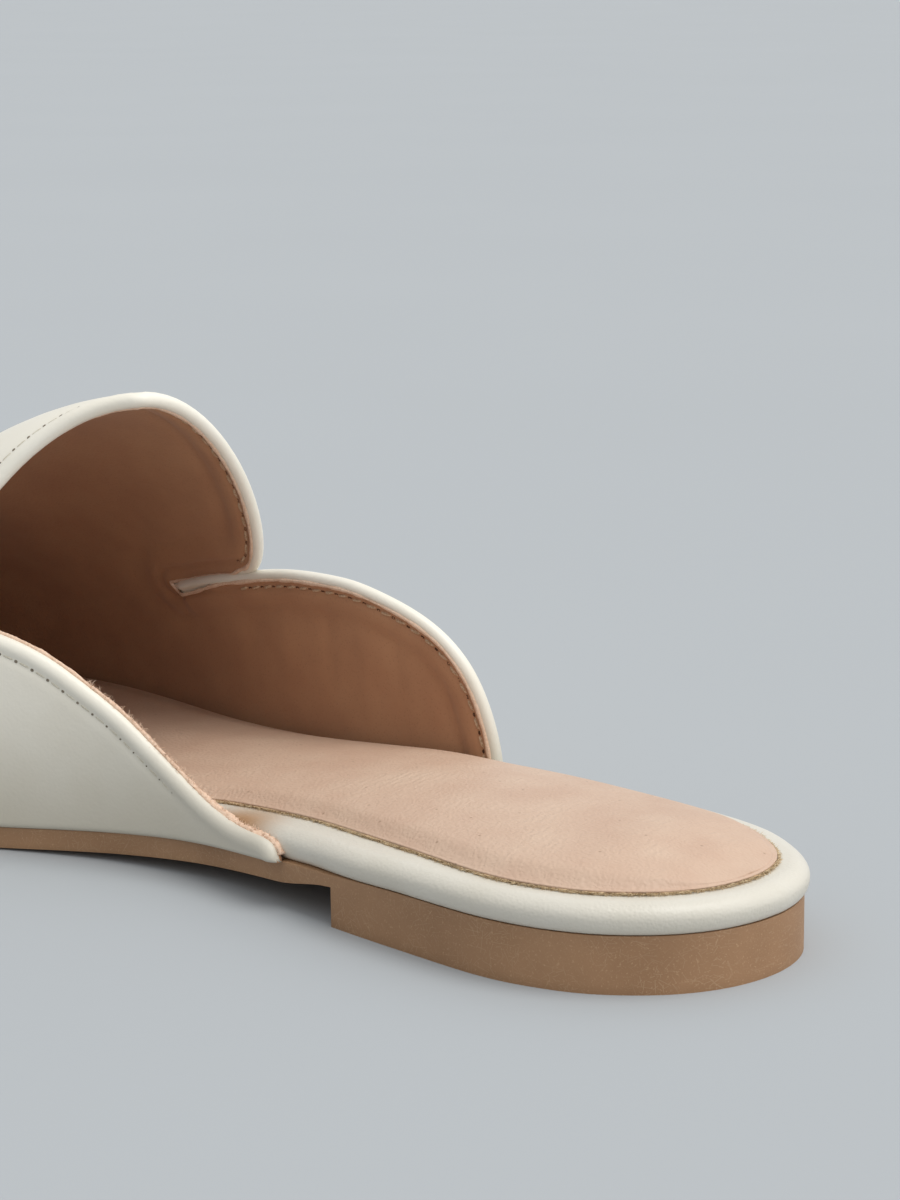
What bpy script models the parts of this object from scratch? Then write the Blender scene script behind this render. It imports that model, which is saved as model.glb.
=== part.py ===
"""A backless mule shoe for the right foot, built from its named sizes.

Run with: blender --background --python part.py
Axes: +X from the heel to the toe, +Y to the shoe's inner side, +Z up, in metres.
The sole stands on z = 0.  The pieces are the outsole, the footbed, the insole and the upper.
"""

import bpy
import numpy as np

MM = 0.001

# Sizes of the sole
LENGTH = 270 * MM              # outsole, from the heel's rear to the toe's tip
BALL_WIDTH = 84 * MM           # outsole, where the foot is widest
HEEL_HEIGHT = 9 * MM           # outsole's thickness under the heel
SHEET = 3.6 * MM               # outsole's thickness under the ball
BREAST_X = 66 * MM             # front face of the heel block, from the heel's rear
TOE_SPRING = 7 * MM            # rise of the toe's tip from the floor
BREAST_THIN = 1.6 * MM         # how much thinner the waist is where it leaves the heel block
EDGE_ROUND = 0.5 * MM          # small round of the outsole's edges

# Sizes of the footbed and of the insole on it
BED = 4.5 * MM                 # thickness of the wrapped board
RIM_ROLL = 3.2 * MM            # depth of the round of the rim
RIM_PROUD = 0.8 * MM           # how far the rim stands out over the outsole at the heel
SOCK = 1.4 * MM                # thickness of the insole at its cut edge
SOCK_CROWN = 3.0 * MM          # how much higher its padding is in the middle of the heel
LIP_HEEL = 4.2 * MM            # rim left bare by the insole at the heel
LIP_WAIST = 7.4 * MM           # rim left bare at the inner side of the waist

# Sizes of the upper
WALL = 2.4 * MM                # leather and lining together
TAB_HEIGHT = 76.5 * MM         # top of the tab over the floor
TAB_REAR_X = 125.5 * MM        # rear edge of the tab, from the heel's rear
OVERHANG = 1.0 * MM            # upper's outside beyond the outsole's edge at the forefoot
END_OVERHANG = 2.4 * MM        # the same at the rear ends of the quarters
TOE_HEIGHT = 26 * MM           # height of the toe over the floor, where it starts to round off
RIDGE_Y = 4 * MM               # how far the instep's ridge lies to the inner side

CLEAR = 0.3 * MM               # gap between pieces that touch
BED_PLAY = 0.4 * MM            # more room for the footbed's edge inside the upper
SOCK_PLAY = 1.7 * MM           # room between the insole's edge and the lining

# How finely the shapes are cut up
SOLE_STEPS = 44
FRONT_ROWS = 20
TAB_ROWS = 8
QUARTER_ROWS = 16
TAB_COLUMNS = 20
QUARTER_COLUMNS = 7
SOCK_COLUMNS = 10

INNER = 1
OUTER = -1

# Outline of the outsole: a row for each section
# place along the length, inner edge and outer edge as shares of the ball's width
OUTLINE = [
    (0.000, -0.038, -0.038),
    (0.010, 0.100, -0.168),
    (0.037, 0.207, -0.262),
    (0.074, 0.276, -0.327),
    (0.124, 0.305, -0.356),
    (0.185, 0.292, -0.370),
    (0.250, 0.272, -0.382),
    (0.310, 0.240, -0.390),
    (0.370, 0.224, -0.396),
    (0.426, 0.245, -0.404),
    (0.470, 0.288, -0.414),
    (0.507, 0.338, -0.428),
    (0.556, 0.402, -0.454),
    (0.611, 0.449, -0.483),
    (0.667, 0.474, -0.500),
    (0.722, 0.472, -0.492),
    (0.778, 0.446, -0.458),
    (0.833, 0.407, -0.404),
    (0.889, 0.350, -0.330),
    (0.933, 0.285, -0.245),
    (0.970, 0.203, -0.147),
    (0.990, 0.128, -0.068),
    (1.000, 0.030, 0.030),
]

# Ridge of the upper over the floor: place along the length,
# then its height as a share of the tab's height plus a share of the toe's height
RIDGE = [
    (0.260, 1.000, 0.000),
    (0.460, 1.000, 0.000),
    (0.500, 0.980, 0.000),
    (0.533, 0.950, 0.000),
    (0.567, 0.906, 0.000),
    (0.596, 0.858, 0.000),
    (0.630, 0.795, 0.000),
    (0.667, 0.715, 0.000),
    (0.741, 0.500, 0.300),
    (0.815, 0.260, 0.720),
    (0.889, 0.070, 1.020),
    (0.950, 0.000, 1.100),
    (1.004, 0.000, 1.100),
]

# Top edge of each quarter, from its rear end to the slit's end
# place along the length, height over the outsole as a share of the tab's height
INNER_QUARTER = [
    (0.290, 0.000),
    (0.293, 0.018),
    (0.300, 0.024),
    (0.326, 0.032),
    (0.359, 0.080),
    (0.394, 0.170),
    (0.428, 0.268),
    (0.454, 0.330),
    (0.476, 0.382),
    (0.498, 0.420),
    (0.519, 0.444),
    (0.541, 0.458),
    (0.563, 0.461),
    (0.596, 0.446),
    (0.630, 0.410),
]
OUTER_QUARTER = [
    (0.291, 0.000),
    (0.292, 0.060),
    (0.296, 0.135),
    (0.304, 0.225),
    (0.315, 0.298),
    (0.337, 0.375),
    (0.369, 0.433),
    (0.408, 0.472),
    (0.450, 0.480),
    (0.504, 0.462),
    (0.544, 0.440),
    (0.585, 0.401),
]

# Lower edge of the tab over each slit, from the slit's end to the tab's corner
# share of the way back, height over the outsole as a share of the tab's height
INNER_TAB = [
    (0.00, 0.410),
    (0.50, 0.466),
    (1.00, 0.500),
]
OUTER_TAB = [
    (0.00, 0.401),
    (0.50, 0.456),
    (1.00, 0.490),
]

# Tab's rear corner on each side, as shares of the length
# place of the corner, how far the rear edge lies ahead there, how far the corner rounds off
TAB_CORNERS = {
    INNER: (0.556, 0.074, 0.030),
    OUTER: (0.500, 0.000, 0.030),
}


def clear_scene():
    """Remove every object and collection the file starts with."""
    for item in list(bpy.data.objects):
        bpy.data.objects.remove(item, do_unlink=True)
    for group in list(bpy.data.collections):
        bpy.data.collections.remove(group)


def smooth(value):
    """A rise from 0 to 1 with level ends."""
    value = np.clip(value, 0, 1)
    return value * value * (3 - 2 * value)


def follow(table, column, place):
    """A smooth line through one column of a table, without overshoot."""
    rows = np.array(table, dtype=float)
    xs = rows[:, 0]
    ys = rows[:, column]
    gaps = np.diff(xs)
    slopes = np.diff(ys) / gaps
    bends = np.zeros(len(xs))
    flat = slopes[:-1] * slopes[1:] <= 0
    before = 2 * gaps[1:] + gaps[:-1]
    after = gaps[1:] + 2 * gaps[:-1]
    safe = np.where(flat, 1, slopes[:-1])
    safe_next = np.where(flat, 1, slopes[1:])
    bends[1:-1] = np.where(flat, 0, (before + after) / (before / safe + after / safe_next))
    bends[0] = slopes[0]
    bends[-1] = slopes[-1]
    place = np.clip(place, xs[0], xs[-1])
    index = np.clip(np.searchsorted(xs, place) - 1, 0, len(gaps) - 1)
    gap = gaps[index]
    step = (place - xs[index]) / gap
    rise = ys[index] * (1 + 2 * step) * (1 - step) ** 2
    rise = rise + bends[index] * gap * step * (1 - step) ** 2
    rise = rise + ys[index + 1] * step ** 2 * (3 - 2 * step)
    return rise + bends[index + 1] * gap * step ** 2 * (step - 1)


def swing(share):
    """Place along the length as an angle, so that the round ends get even steps."""
    return np.arccos(1 - 2 * np.clip(share, 0, 1)) / np.pi


def edge(x, side):
    """Distance of the outsole's edge from the middle line at x, on one side."""
    table = [(float(swing(row[0])), row[1], row[2]) for row in OUTLINE]
    column = 1 if side > 0 else 2
    return follow(table, column, swing(x / LENGTH)) * BALL_WIDTH


def spring(x):
    """Rise of the sole towards the tip of the toe."""
    start = 0.70 * LENGTH
    return TOE_SPRING * np.clip((x - start) / (LENGTH - start), 0, 1) ** 2


def sole_top(x):
    """Height of the outsole's upper face."""
    fall = smooth((x - 0.68 * BREAST_X) / (0.41 * LENGTH))
    return HEEL_HEIGHT + (SHEET - HEEL_HEIGHT) * fall + spring(x)


def loop_steps():
    """Places along the length for a loop round the sole, closer together at both ends."""
    angles = np.linspace(0, 1, SOLE_STEPS + 1)
    return LENGTH * (1 - np.cos(np.pi * angles)) / 2


def outline_loop(offset_inner, offset_outer):
    """Points round the sole, moved outwards by the offsets, first the inner side and then back."""
    xs = loop_steps()
    inner = np.stack([xs, edge(xs, INNER)], 1)
    outer = np.stack([xs, edge(xs, OUTER)], 1)[::-1][1:-1]
    loop = np.concatenate([inner, outer])
    offsets = np.concatenate([offset_inner(xs), offset_outer(xs)[::-1][1:-1]])
    ahead = np.roll(loop, -1, 0) - loop
    behind = loop - np.roll(loop, 1, 0)
    ahead = ahead / np.linalg.norm(ahead, axis=1)[:, None]
    behind = behind / np.linalg.norm(behind, axis=1)[:, None]
    along = ahead + behind
    along = along / np.linalg.norm(along, axis=1)[:, None]
    outwards = np.stack([-along[:, 1], along[:, 0]], 1)
    return loop + outwards * offsets[:, None]


def slab(name, layers, crown, columns):
    """A solid from loops round the sole, one over the other, closed by a cap below and above.

    layers: a row for each loop, with its inner offset, outer offset and height functions.
    crown: extra height of the upper cap, from the place along and across.
    """
    count = 2 * SOLE_STEPS
    points = []
    for offset_inner, offset_outer, height in layers:
        loop = outline_loop(offset_inner, offset_outer)
        points.extend([(x, y, float(height(x))) for x, y in loop])
    faces = []
    for layer in range(len(layers) - 1):
        low = layer * count
        for i in range(count):
            j = (i + 1) % count
            faces.append((low + i, low + j, low + count + j, low + count + i))
    faces = [tuple(reversed(face)) for face in faces]
    for layer, upwards in ((0, False), (len(layers) - 1, True)):
        first = layer * count
        rows = [[first]]
        for i in range(1, SOLE_STEPS):
            inner = np.array(points[first + i])
            outer = np.array(points[first + count - i])
            row = [first + i]
            inside = columns if upwards else 1
            for k in range(1, inside):
                share = k / inside
                spot = inner + (outer - inner) * share
                spot[2] += float(crown(spot[0], share))
                row.append(len(points))
                points.append(tuple(spot))
            row.append(first + count - i)
            rows.append(row)
        rows.append([first + SOLE_STEPS])
        for near, far in zip(rows[:-1], rows[1:]):
            faces.extend(ladder(near, far, upwards))
    return make_object(name, points, faces)


def ladder(near, far, upwards):
    """Faces between two rows of a cap, where a row at the end is a single point."""
    made = []
    wide = max(len(near), len(far)) - 1
    for k in range(wide):
        a = near[min(k, len(near) - 1)]
        b = near[min(k + 1, len(near) - 1)]
        c = far[min(k + 1, len(far) - 1)]
        d = far[min(k, len(far) - 1)]
        ring = []
        for corner in (a, b, c, d):
            if corner not in ring:
                ring.append(corner)
        made.append(tuple(ring) if upwards else tuple(reversed(ring)))
    return made


def make_object(name, points, faces):
    """A mesh object from points and faces."""
    mesh = bpy.data.meshes.new(name)
    mesh.from_pydata([tuple(point) for point in points], [], faces)
    mesh.validate()
    mesh.update()
    return bpy.data.objects.new(name, mesh)


def profile_cutter(name, xs, heights, group):
    """A block as wide as the shoe whose upper face follows the heights, for cutting below the sole."""
    half = BALL_WIDTH
    depth = -HEEL_HEIGHT
    points = []
    for x, height in zip(xs, heights):
        points.extend([(x, -half, height), (x, half, height), (x, half, depth), (x, -half, depth)])
    faces = [(0, 1, 2, 3)]
    for i in range(len(xs) - 1):
        a = 4 * i
        b = a + 4
        for k in range(4):
            n = (k + 1) % 4
            faces.append((a + k, b + k, b + n, a + n))
    last = 4 * (len(xs) - 1)
    faces.append((last + 3, last + 2, last + 1, last))
    cutter = make_object(name, points, faces)
    cutter.hide_render = True
    cutter.display_type = "WIRE"
    group.objects.link(cutter)
    return cutter


def cut(target, cutter):
    """Take the cutter's shape away from the target."""
    change = target.modifiers.new(cutter.name, "BOOLEAN")
    change.operation = "DIFFERENCE"
    change.solver = "EXACT"
    change.object = cutter


def build_outsole(group, cutters):
    """The rubber unit: one prism of the outline, cut away under the waist and under the toe."""
    level = lambda x: 0.0 * x
    inset = lambda x: -EDGE_ROUND + 0.0 * x
    layers = [
        (inset, inset, lambda x: 0.0 * x),
        (level, level, lambda x: EDGE_ROUND + 0.0 * x),
        (level, level, lambda x: sole_top(x) - EDGE_ROUND),
        (inset, inset, lambda x: sole_top(x)),
    ]
    outsole = slab("outsole", layers, lambda x, share: 0.0, 1)
    group.objects.link(outsole)
    touch = BREAST_X
    while sole_top(touch) - SHEET > 0.02 * MM:
        touch += 1 * MM
    xs = np.linspace(BREAST_X, touch, 15)
    thinner = BREAST_THIN * (1 - smooth((xs - BREAST_X) / (4 * SHEET)))
    waist = profile_cutter("waist_cut", xs, sole_top(xs) - SHEET + thinner, cutters)
    cut(outsole, waist)
    xs = np.linspace(0.715 * LENGTH, 1.02 * LENGTH, 12)
    toe = profile_cutter("toe_cut", xs, spring(np.minimum(xs, LENGTH)), cutters)
    cut(outsole, toe)
    return outsole


def upper_out(x):
    """How far the upper's outside stands beyond the outsole's edge."""
    return OVERHANG + (END_OVERHANG - OVERHANG) * (1 - smooth((x - 0.28 * LENGTH) / (0.13 * LENGTH)))


def bed_out(x):
    """How far the footbed's rim stands beyond the outsole's edge: proud at the heel, inside the upper."""
    inside = upper_out(x) - WALL - CLEAR
    hidden = smooth((x - 0.215 * LENGTH) / (0.06 * LENGTH))
    deeper = BED_PLAY * smooth((x - 0.30 * LENGTH) / (0.10 * LENGTH))
    return RIM_PROUD + (inside - RIM_PROUD) * hidden - deeper


def rim_roll(x):
    """Depth of the rim's round, which fades where the upper hides it."""
    return RIM_ROLL * (1 - 0.7 * smooth((x - 0.30 * LENGTH) / (0.12 * LENGTH)))


def bed_top(x):
    """Height of the footbed's upper face."""
    return sole_top(x) + CLEAR + BED


def build_footbed(group):
    """The wrapped board with its rounded rim."""
    layers = []
    for turn in (-90, -55, -20, 15, 50, 90):
        angle = np.radians(turn)
        depth = 1 - np.cos(angle)
        height = BED * (1 + np.sin(angle)) / 2
        out = lambda x, depth=depth: bed_out(x) - depth * rim_roll(x)
        rise = lambda x, height=height: sole_top(x) + CLEAR + height
        layers.append((out, out, rise))
    footbed = slab("footbed", layers, lambda x, share: 0.0, 1)
    group.objects.link(footbed)
    return footbed


def sock_inner(x):
    """Offset of the insole's edge on the inner side: a wide lip at the waist, then wall to wall."""
    waist = smooth((x - 0.12 * LENGTH) / (0.18 * LENGTH))
    lip = -LIP_HEEL - (LIP_WAIST - LIP_HEEL) * waist
    hidden = smooth((x - 0.37 * LENGTH) / (0.09 * LENGTH))
    return lip + (sock_wall(x) - lip) * hidden


def sock_outer(x):
    """Offset of the insole's edge on the outer side: it reaches the wall where the quarter starts."""
    hidden = smooth((x - 0.24 * LENGTH) / (0.10 * LENGTH))
    return -LIP_HEEL + (sock_wall(x) + LIP_HEEL) * hidden


def sock_wall(x):
    """Offset where the insole meets the inside of the upper."""
    return upper_out(x) - WALL - SOCK_PLAY


def sock_crown(x, share):
    """Extra height of the padding across the insole, highest in the middle of the heel."""
    fade = 1 - 0.55 * smooth((x - 0.20 * LENGTH) / (0.35 * LENGTH))
    ends = smooth(x / (0.09 * LENGTH)) * smooth((LENGTH - x) / (0.12 * LENGTH))
    return SOCK_CROWN * fade * ends * np.sin(np.pi * share) ** 0.8


def build_insole(group):
    """The padded sock on the footbed."""
    low = lambda x: bed_top(x) + CLEAR
    high = lambda x: bed_top(x) + CLEAR + SOCK
    near_top = lambda x: bed_top(x) + CLEAR + 0.75 * SOCK
    inner_top = lambda x: sock_inner(x) - 0.5 * MM
    outer_top = lambda x: sock_outer(x) - 0.5 * MM
    layers = [
        (sock_inner, sock_outer, low),
        (sock_inner, sock_outer, near_top),
        (inner_top, outer_top, high),
    ]
    insole = slab("insole", layers, sock_crown, SOCK_COLUMNS)
    group.objects.link(insole)
    return insole


def upper_edge(x, side):
    """Distance of the upper's outside from the middle line, low down at x."""
    tip = LENGTH + OVERHANG
    near_tip = smooth((tip - x) / (0.07 * LENGTH))
    return edge(x * LENGTH / tip, side) + side * upper_out(x) * near_tip


def upper_foot(x):
    """Height of the upper's lower edge, just over the outsole."""
    return sole_top(np.minimum(x, LENGTH)) + CLEAR


def ridge_height(x):
    """Height of the ridge over the upper's lower edge, closed by a round end at the toe."""
    high = follow(RIDGE, 1, x / LENGTH) * TAB_HEIGHT + follow(RIDGE, 2, x / LENGTH) * TOE_HEIGHT
    high = high - upper_foot(x)
    start = 0.90 * LENGTH
    tip = LENGTH + OVERHANG
    way = np.clip((x - start) / (tip - start), 0, 1)
    return high * np.sqrt(1 - way ** 2.6)


def ridge_side(x):
    """Place of the ridge from the middle line; it comes to the tip at the toe."""
    tip = 0.030 * BALL_WIDTH
    return RIDGE_Y + (tip - RIDGE_Y) * smooth((x - 0.55 * LENGTH) / (0.40 * LENGTH))


def fullness(x, side):
    """Power of the section's curve: 2 is an ellipse, and more is fuller."""
    back = 2.25 if side > 0 else 1.96
    return back + (2.15 - back) * smooth((x - 0.55 * LENGTH) / (0.35 * LENGTH))


def section_turn(x, height, side):
    """Share of the way down the section, 0 at the ridge and 1 at the sole, at a height."""
    part = np.clip(height / ridge_height(x), 0, 1)
    return np.arccos(part ** (fullness(x, side) / 2)) / (np.pi / 2)


def skin(x, turn):
    """A point of the upper's outside: x along the shoe, turn from -1 outside to 1 inside."""
    side = INNER if turn >= 0 else OUTER
    angle = min(abs(turn), 1.0) * np.pi / 2
    power = 2 / fullness(x, side)
    middle = ridge_side(x)
    wide = upper_edge(x, side) - middle
    y = middle + wide * np.sin(angle) ** power
    z = upper_foot(x) + ridge_height(x) * max(np.cos(angle), 0) ** power
    return (float(x), float(y), float(z))


class Side:
    """The lines that bound one side of the opening."""

    def __init__(self, side, quarter, tab):
        self.side = side
        self.quarter = quarter
        self.tab = tab
        self.slit_x = quarter[-1][0] * LENGTH
        self.end_x = quarter[0][0] * LENGTH
        self.corner_x = TAB_CORNERS[side][0] * LENGTH

    def slit_turn(self):
        """Where the slit ends, as a share of the way down the section."""
        return self.quarter_turn(self.slit_x)

    def quarter_turn(self, x):
        """Top edge of the quarter at x."""
        height = follow(self.quarter, 1, x / LENGTH) * TAB_HEIGHT
        return float(section_turn(x, height, self.side))

    def tab_turn(self, x):
        """Lower edge of the tab at x."""
        back = (self.slit_x - x) / (self.slit_x - self.corner_x)
        height = follow(self.tab, 1, back) * TAB_HEIGHT
        return float(section_turn(x, height, self.side))


def tab_rear(across):
    """Rear edge of the tab: across runs from -1 at its outer edge to 1 at its inner edge."""
    _, ahead, rounding = TAB_CORNERS[INNER if across > 0 else OUTER]
    share = abs(across)
    corner = rounding * LENGTH * (1 - np.sqrt(1 - share ** 7))
    lean = ahead * LENGTH * (1 - (1 - share) ** 1.6)
    return TAB_REAR_X + lean + corner


def build_upper(group):
    """The leather shell: its outside as one sheet, thickened inwards to the wall."""
    inner = Side(INNER, INNER_QUARTER, INNER_TAB)
    outer = Side(OUTER, OUTER_QUARTER, OUTER_TAB)
    tip = LENGTH + OVERHANG
    points = []
    faces = []

    def across_turns():
        """Turns of the columns along the row that joins the ends of the slits."""
        low = np.linspace(-1, -outer.slit_turn(), QUARTER_COLUMNS + 1)
        spread = np.sin(np.linspace(-1, 1, TAB_COLUMNS + 1) * np.pi / 2)
        spread = 0.6 * spread + 0.4 * np.linspace(-1, 1, TAB_COLUMNS + 1)
        reach = np.where(spread > 0, inner.slit_turn(), outer.slit_turn())
        middle = spread * reach
        high = np.linspace(inner.slit_turn(), 1, QUARTER_COLUMNS + 1)
        return np.concatenate([low[:-1], middle, high[1:]])

    def slit_row_x(turn):
        """Place of the row that joins the ends of the slits."""
        reach = (turn + outer.slit_turn()) / (inner.slit_turn() + outer.slit_turn())
        return outer.slit_x + (inner.slit_x - outer.slit_x) * smooth(reach)

    def add_row(row):
        """Store a row of points and return their numbers."""
        first = len(points)
        points.extend(row)
        return list(range(first, first + len(row)))

    def join(near, far):
        """Faces between two rows of the same length."""
        for k in range(len(near) - 1):
            faces.append((near[k], near[k + 1], far[k + 1], far[k]))

    turns = across_turns()
    start = add_row([skin(slit_row_x(turn), turn) for turn in turns])
    rows = [start]
    for i in range(1, FRONT_ROWS):
        way = np.sin(i / FRONT_ROWS * np.pi / 2)
        row = []
        for turn in turns:
            x = slit_row_x(turn)
            row.append(skin(x + (tip - x) * way, turn))
        rows.append(add_row(row))
    for near, far in zip(rows[:-1], rows[1:]):
        join(near, far)
    end = add_row([skin(tip, 0.0)])[0]
    for k in range(len(turns) - 1):
        faces.append((rows[-1][k], rows[-1][k + 1], end))

    first = QUARTER_COLUMNS
    last = QUARTER_COLUMNS + TAB_COLUMNS
    before = start[first:last + 1]
    for i in range(1, TAB_ROWS + 1):
        way = i / TAB_ROWS
        row = []
        for turn in turns[first:last + 1]:
            side = inner if turn >= 0 else outer
            across = np.clip(turn / side.slit_turn(), -1, 1)
            x = slit_row_x(turn)
            x = x + (tab_rear(across) - x) * way
            reach = side.tab_turn(max(x, side.corner_x))
            row.append(skin(x, across * reach))
        after = add_row(row)
        join(after, before)
        before = after

    for side, columns in ((inner, turns[last:]), (outer, turns[:first + 1][::-1])):
        before = start[last:] if side is inner else start[:first + 1][::-1]
        for i in range(1, QUARTER_ROWS + 1):
            way = np.sin(i / QUARTER_ROWS * np.pi / 2)
            x = side.slit_x + (side.end_x - side.slit_x) * way
            top = side.quarter_turn(x)
            last_row = i == QUARTER_ROWS
            shares = np.linspace(0, 1, QUARTER_COLUMNS + 1)
            row = [skin(x, side.side * (top + (1 - top) * share)) for share in shares]
            if last_row:
                end = add_row([row[-1]])[0]
                after = [end] * len(before)
            else:
                after = add_row(row)
            for k in range(QUARTER_COLUMNS):
                ring = [before[k], after[k], after[k + 1], before[k + 1]]
                if last_row:
                    ring = [before[k], end, before[k + 1]]
                if side is outer:
                    ring = ring[::-1]
                faces.append(tuple(ring))
            before = after

    outwards = [tuple(reversed(face)) for face in faces]
    upper = make_object("upper", points, outwards)
    group.objects.link(upper)
    wall = upper.modifiers.new("wall", "SOLIDIFY")
    wall.thickness = WALL
    wall.offset = -1
    wall.use_even_offset = True
    wall.use_rim = True
    return upper


def stand_on_origin(pieces, cutters, group):
    """Hang all on an empty, so that the origin is on the floor under the middle of the shoe."""
    bpy.context.view_layer.update()
    scene_state = bpy.context.evaluated_depsgraph_get()
    corners = []
    for piece in pieces:
        corners.extend([tuple(corner) for corner in piece.evaluated_get(scene_state).bound_box])
    corners = np.array(corners)
    middle = (corners.min(0) + corners.max(0)) / 2
    holder = bpy.data.objects.new("shoe_middle", None)
    group.objects.link(holder)
    holder.location = (-middle[0], -middle[1], 0)
    for item in (*pieces, *cutters):
        item.parent = holder


def paint(item, name, colour, roughness):
    """Give an object its own Principled material."""
    material = bpy.data.materials.new(name)
    material.use_nodes = True
    shader = material.node_tree.nodes["Principled BSDF"]
    shader.inputs["Base Color"].default_value = (*colour, 1)
    shader.inputs["Roughness"].default_value = roughness
    shader.inputs["Metallic"].default_value = 0
    item.data.materials.append(material)


def main():
    """Build the shoe."""
    clear_scene()
    shoe = bpy.data.collections.new("mule_shoe")
    cutters = bpy.data.collections.new("cutters")
    bpy.context.scene.collection.children.link(shoe)
    bpy.context.scene.collection.children.link(cutters)
    outsole = build_outsole(shoe, cutters)
    footbed = build_footbed(shoe)
    insole = build_insole(shoe)
    upper = build_upper(shoe)
    stand_on_origin([outsole, footbed, insole, upper], cutters.objects, shoe)
    paint(outsole, "brown_rubber", (0.26, 0.14, 0.08), 0.55)
    paint(footbed, "cream_wrap", (0.76, 0.73, 0.64), 0.45)
    paint(insole, "tan_sock", (0.65, 0.44, 0.34), 0.6)
    paint(upper, "cream_leather", (0.78, 0.76, 0.68), 0.45)


main()
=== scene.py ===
# %% [markdown]
# # A mule shoe, dressed for its picture
#
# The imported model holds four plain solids: outsole, footbed, insole and upper.  They have the true
# shape, but no leather, no thread and no cut edges.  This lesson works out a finer surface for each
# with numpy, from the same sizes, and hides the plain solid under it.
#
# Every shape is found in the shoe's own frame first: x runs from the rear of the heel to the toe,
# y to the shoe's inner side and z up from the floor.  One function then moves it to the model's frame.

import bpy
import numpy as np
from mathutils import Matrix, Vector


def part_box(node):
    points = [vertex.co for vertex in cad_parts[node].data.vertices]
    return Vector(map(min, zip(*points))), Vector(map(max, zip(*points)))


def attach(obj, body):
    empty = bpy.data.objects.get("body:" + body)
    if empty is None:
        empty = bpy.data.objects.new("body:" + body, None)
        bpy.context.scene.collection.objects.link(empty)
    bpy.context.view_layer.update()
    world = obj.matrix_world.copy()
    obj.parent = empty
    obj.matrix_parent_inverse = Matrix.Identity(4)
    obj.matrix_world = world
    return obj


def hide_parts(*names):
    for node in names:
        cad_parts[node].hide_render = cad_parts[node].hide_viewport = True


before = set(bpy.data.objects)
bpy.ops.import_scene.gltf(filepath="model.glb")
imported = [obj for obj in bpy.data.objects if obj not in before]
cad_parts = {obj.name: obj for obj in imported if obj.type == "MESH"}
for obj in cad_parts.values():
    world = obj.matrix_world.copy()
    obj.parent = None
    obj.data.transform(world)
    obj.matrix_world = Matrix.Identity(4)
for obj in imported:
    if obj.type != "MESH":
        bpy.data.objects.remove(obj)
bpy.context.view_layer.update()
print("solids:", sorted(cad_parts))

# %% [markdown]
# ## The sizes that drive everything
#
# A shoemaker works from a last, which is described by a handful of measures.  The length comes from
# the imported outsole; the others are the same named sizes that the solids were built from.

# %% Sizes of the shoe
MM = 0.001
sole_low, sole_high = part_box("outsole")
LENGTH = sole_high.x - sole_low.x
BALL_WIDTH = 84 * MM
HEEL_HEIGHT = 9 * MM
SHEET = 3.6 * MM               # outsole under the ball
BREAST_X = 66 * MM             # front face of the heel block
TOE_SPRING = 7 * MM
BREAST_THIN = 1.6 * MM
BED = 4.5 * MM                 # wrapped board of the footbed
BED_PLAY = 0.4 * MM            # extra room between footbed and upper
RIM_ROLL = 3.2 * MM
RIM_PROUD = 0.8 * MM
SOCK = 1.4 * MM                # insole at its cut edge
SOCK_CROWN = 3.0 * MM
SOCK_PLAY = 1.7 * MM           # room between insole and upper
LIP_HEEL = 4.2 * MM            # rim left bare by the insole
LIP_WAIST = 7.4 * MM
WALL = 2.4 * MM                # leather and lining together
TAB_HEIGHT = 76.5 * MM
TAB_REAR_X = 125.5 * MM
OVERHANG = 1.0 * MM
END_OVERHANG = 2.4 * MM
TOE_HEIGHT = 26 * MM
RIDGE_Y = 4 * MM
CLEAR = 0.3 * MM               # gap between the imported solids
TOUCH = 0.03 * MM              # gap between dressed pieces, too thin to see
TIP = LENGTH + OVERHANG
ORIGIN = np.array([sole_low.x, sole_low.y + 0.5 * BALL_WIDTH, 0.0])
print("length in mm:", round(LENGTH / MM, 1))

# %% [markdown]
# ## The tables behind the curves
#
# Each row is one section of the last, in shares of a named size.  Outline, ridge and outer quarter
# are the solids' own rows.  The inner quarter's tail and the tab's corners follow the picture more
# closely than the solids do, by a few millimetres.

# %% Outline, ridge and opening
INNER = 1
OUTER = -1
# place along the length, inner edge and outer edge as shares of the ball's width
OUTLINE = [
    (0.000, -0.038, -0.038), (0.010, 0.100, -0.168), (0.037, 0.207, -0.262), (0.074, 0.276, -0.327),
    (0.124, 0.305, -0.356), (0.185, 0.292, -0.370), (0.250, 0.272, -0.382), (0.310, 0.240, -0.390),
    (0.370, 0.224, -0.396), (0.426, 0.245, -0.404), (0.470, 0.288, -0.414), (0.507, 0.338, -0.428),
    (0.556, 0.402, -0.454), (0.611, 0.449, -0.483), (0.667, 0.474, -0.500), (0.722, 0.472, -0.492),
    (0.778, 0.446, -0.458), (0.833, 0.407, -0.404), (0.889, 0.350, -0.330), (0.933, 0.285, -0.245),
    (0.970, 0.203, -0.147), (0.990, 0.128, -0.068), (1.000, 0.030, 0.030),
]
# place along the length, height of the ridge as a share of the tab's plus a share of the toe's
RIDGE = [
    (0.260, 1.000, 0.000), (0.460, 1.000, 0.000), (0.500, 0.980, 0.000), (0.533, 0.950, 0.000),
    (0.567, 0.906, 0.000), (0.596, 0.858, 0.000), (0.630, 0.795, 0.000), (0.667, 0.715, 0.000),
    (0.741, 0.500, 0.300), (0.815, 0.260, 0.720), (0.889, 0.070, 1.020), (0.950, 0.000, 1.100),
    (1.004, 0.000, 1.100),
]
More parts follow.
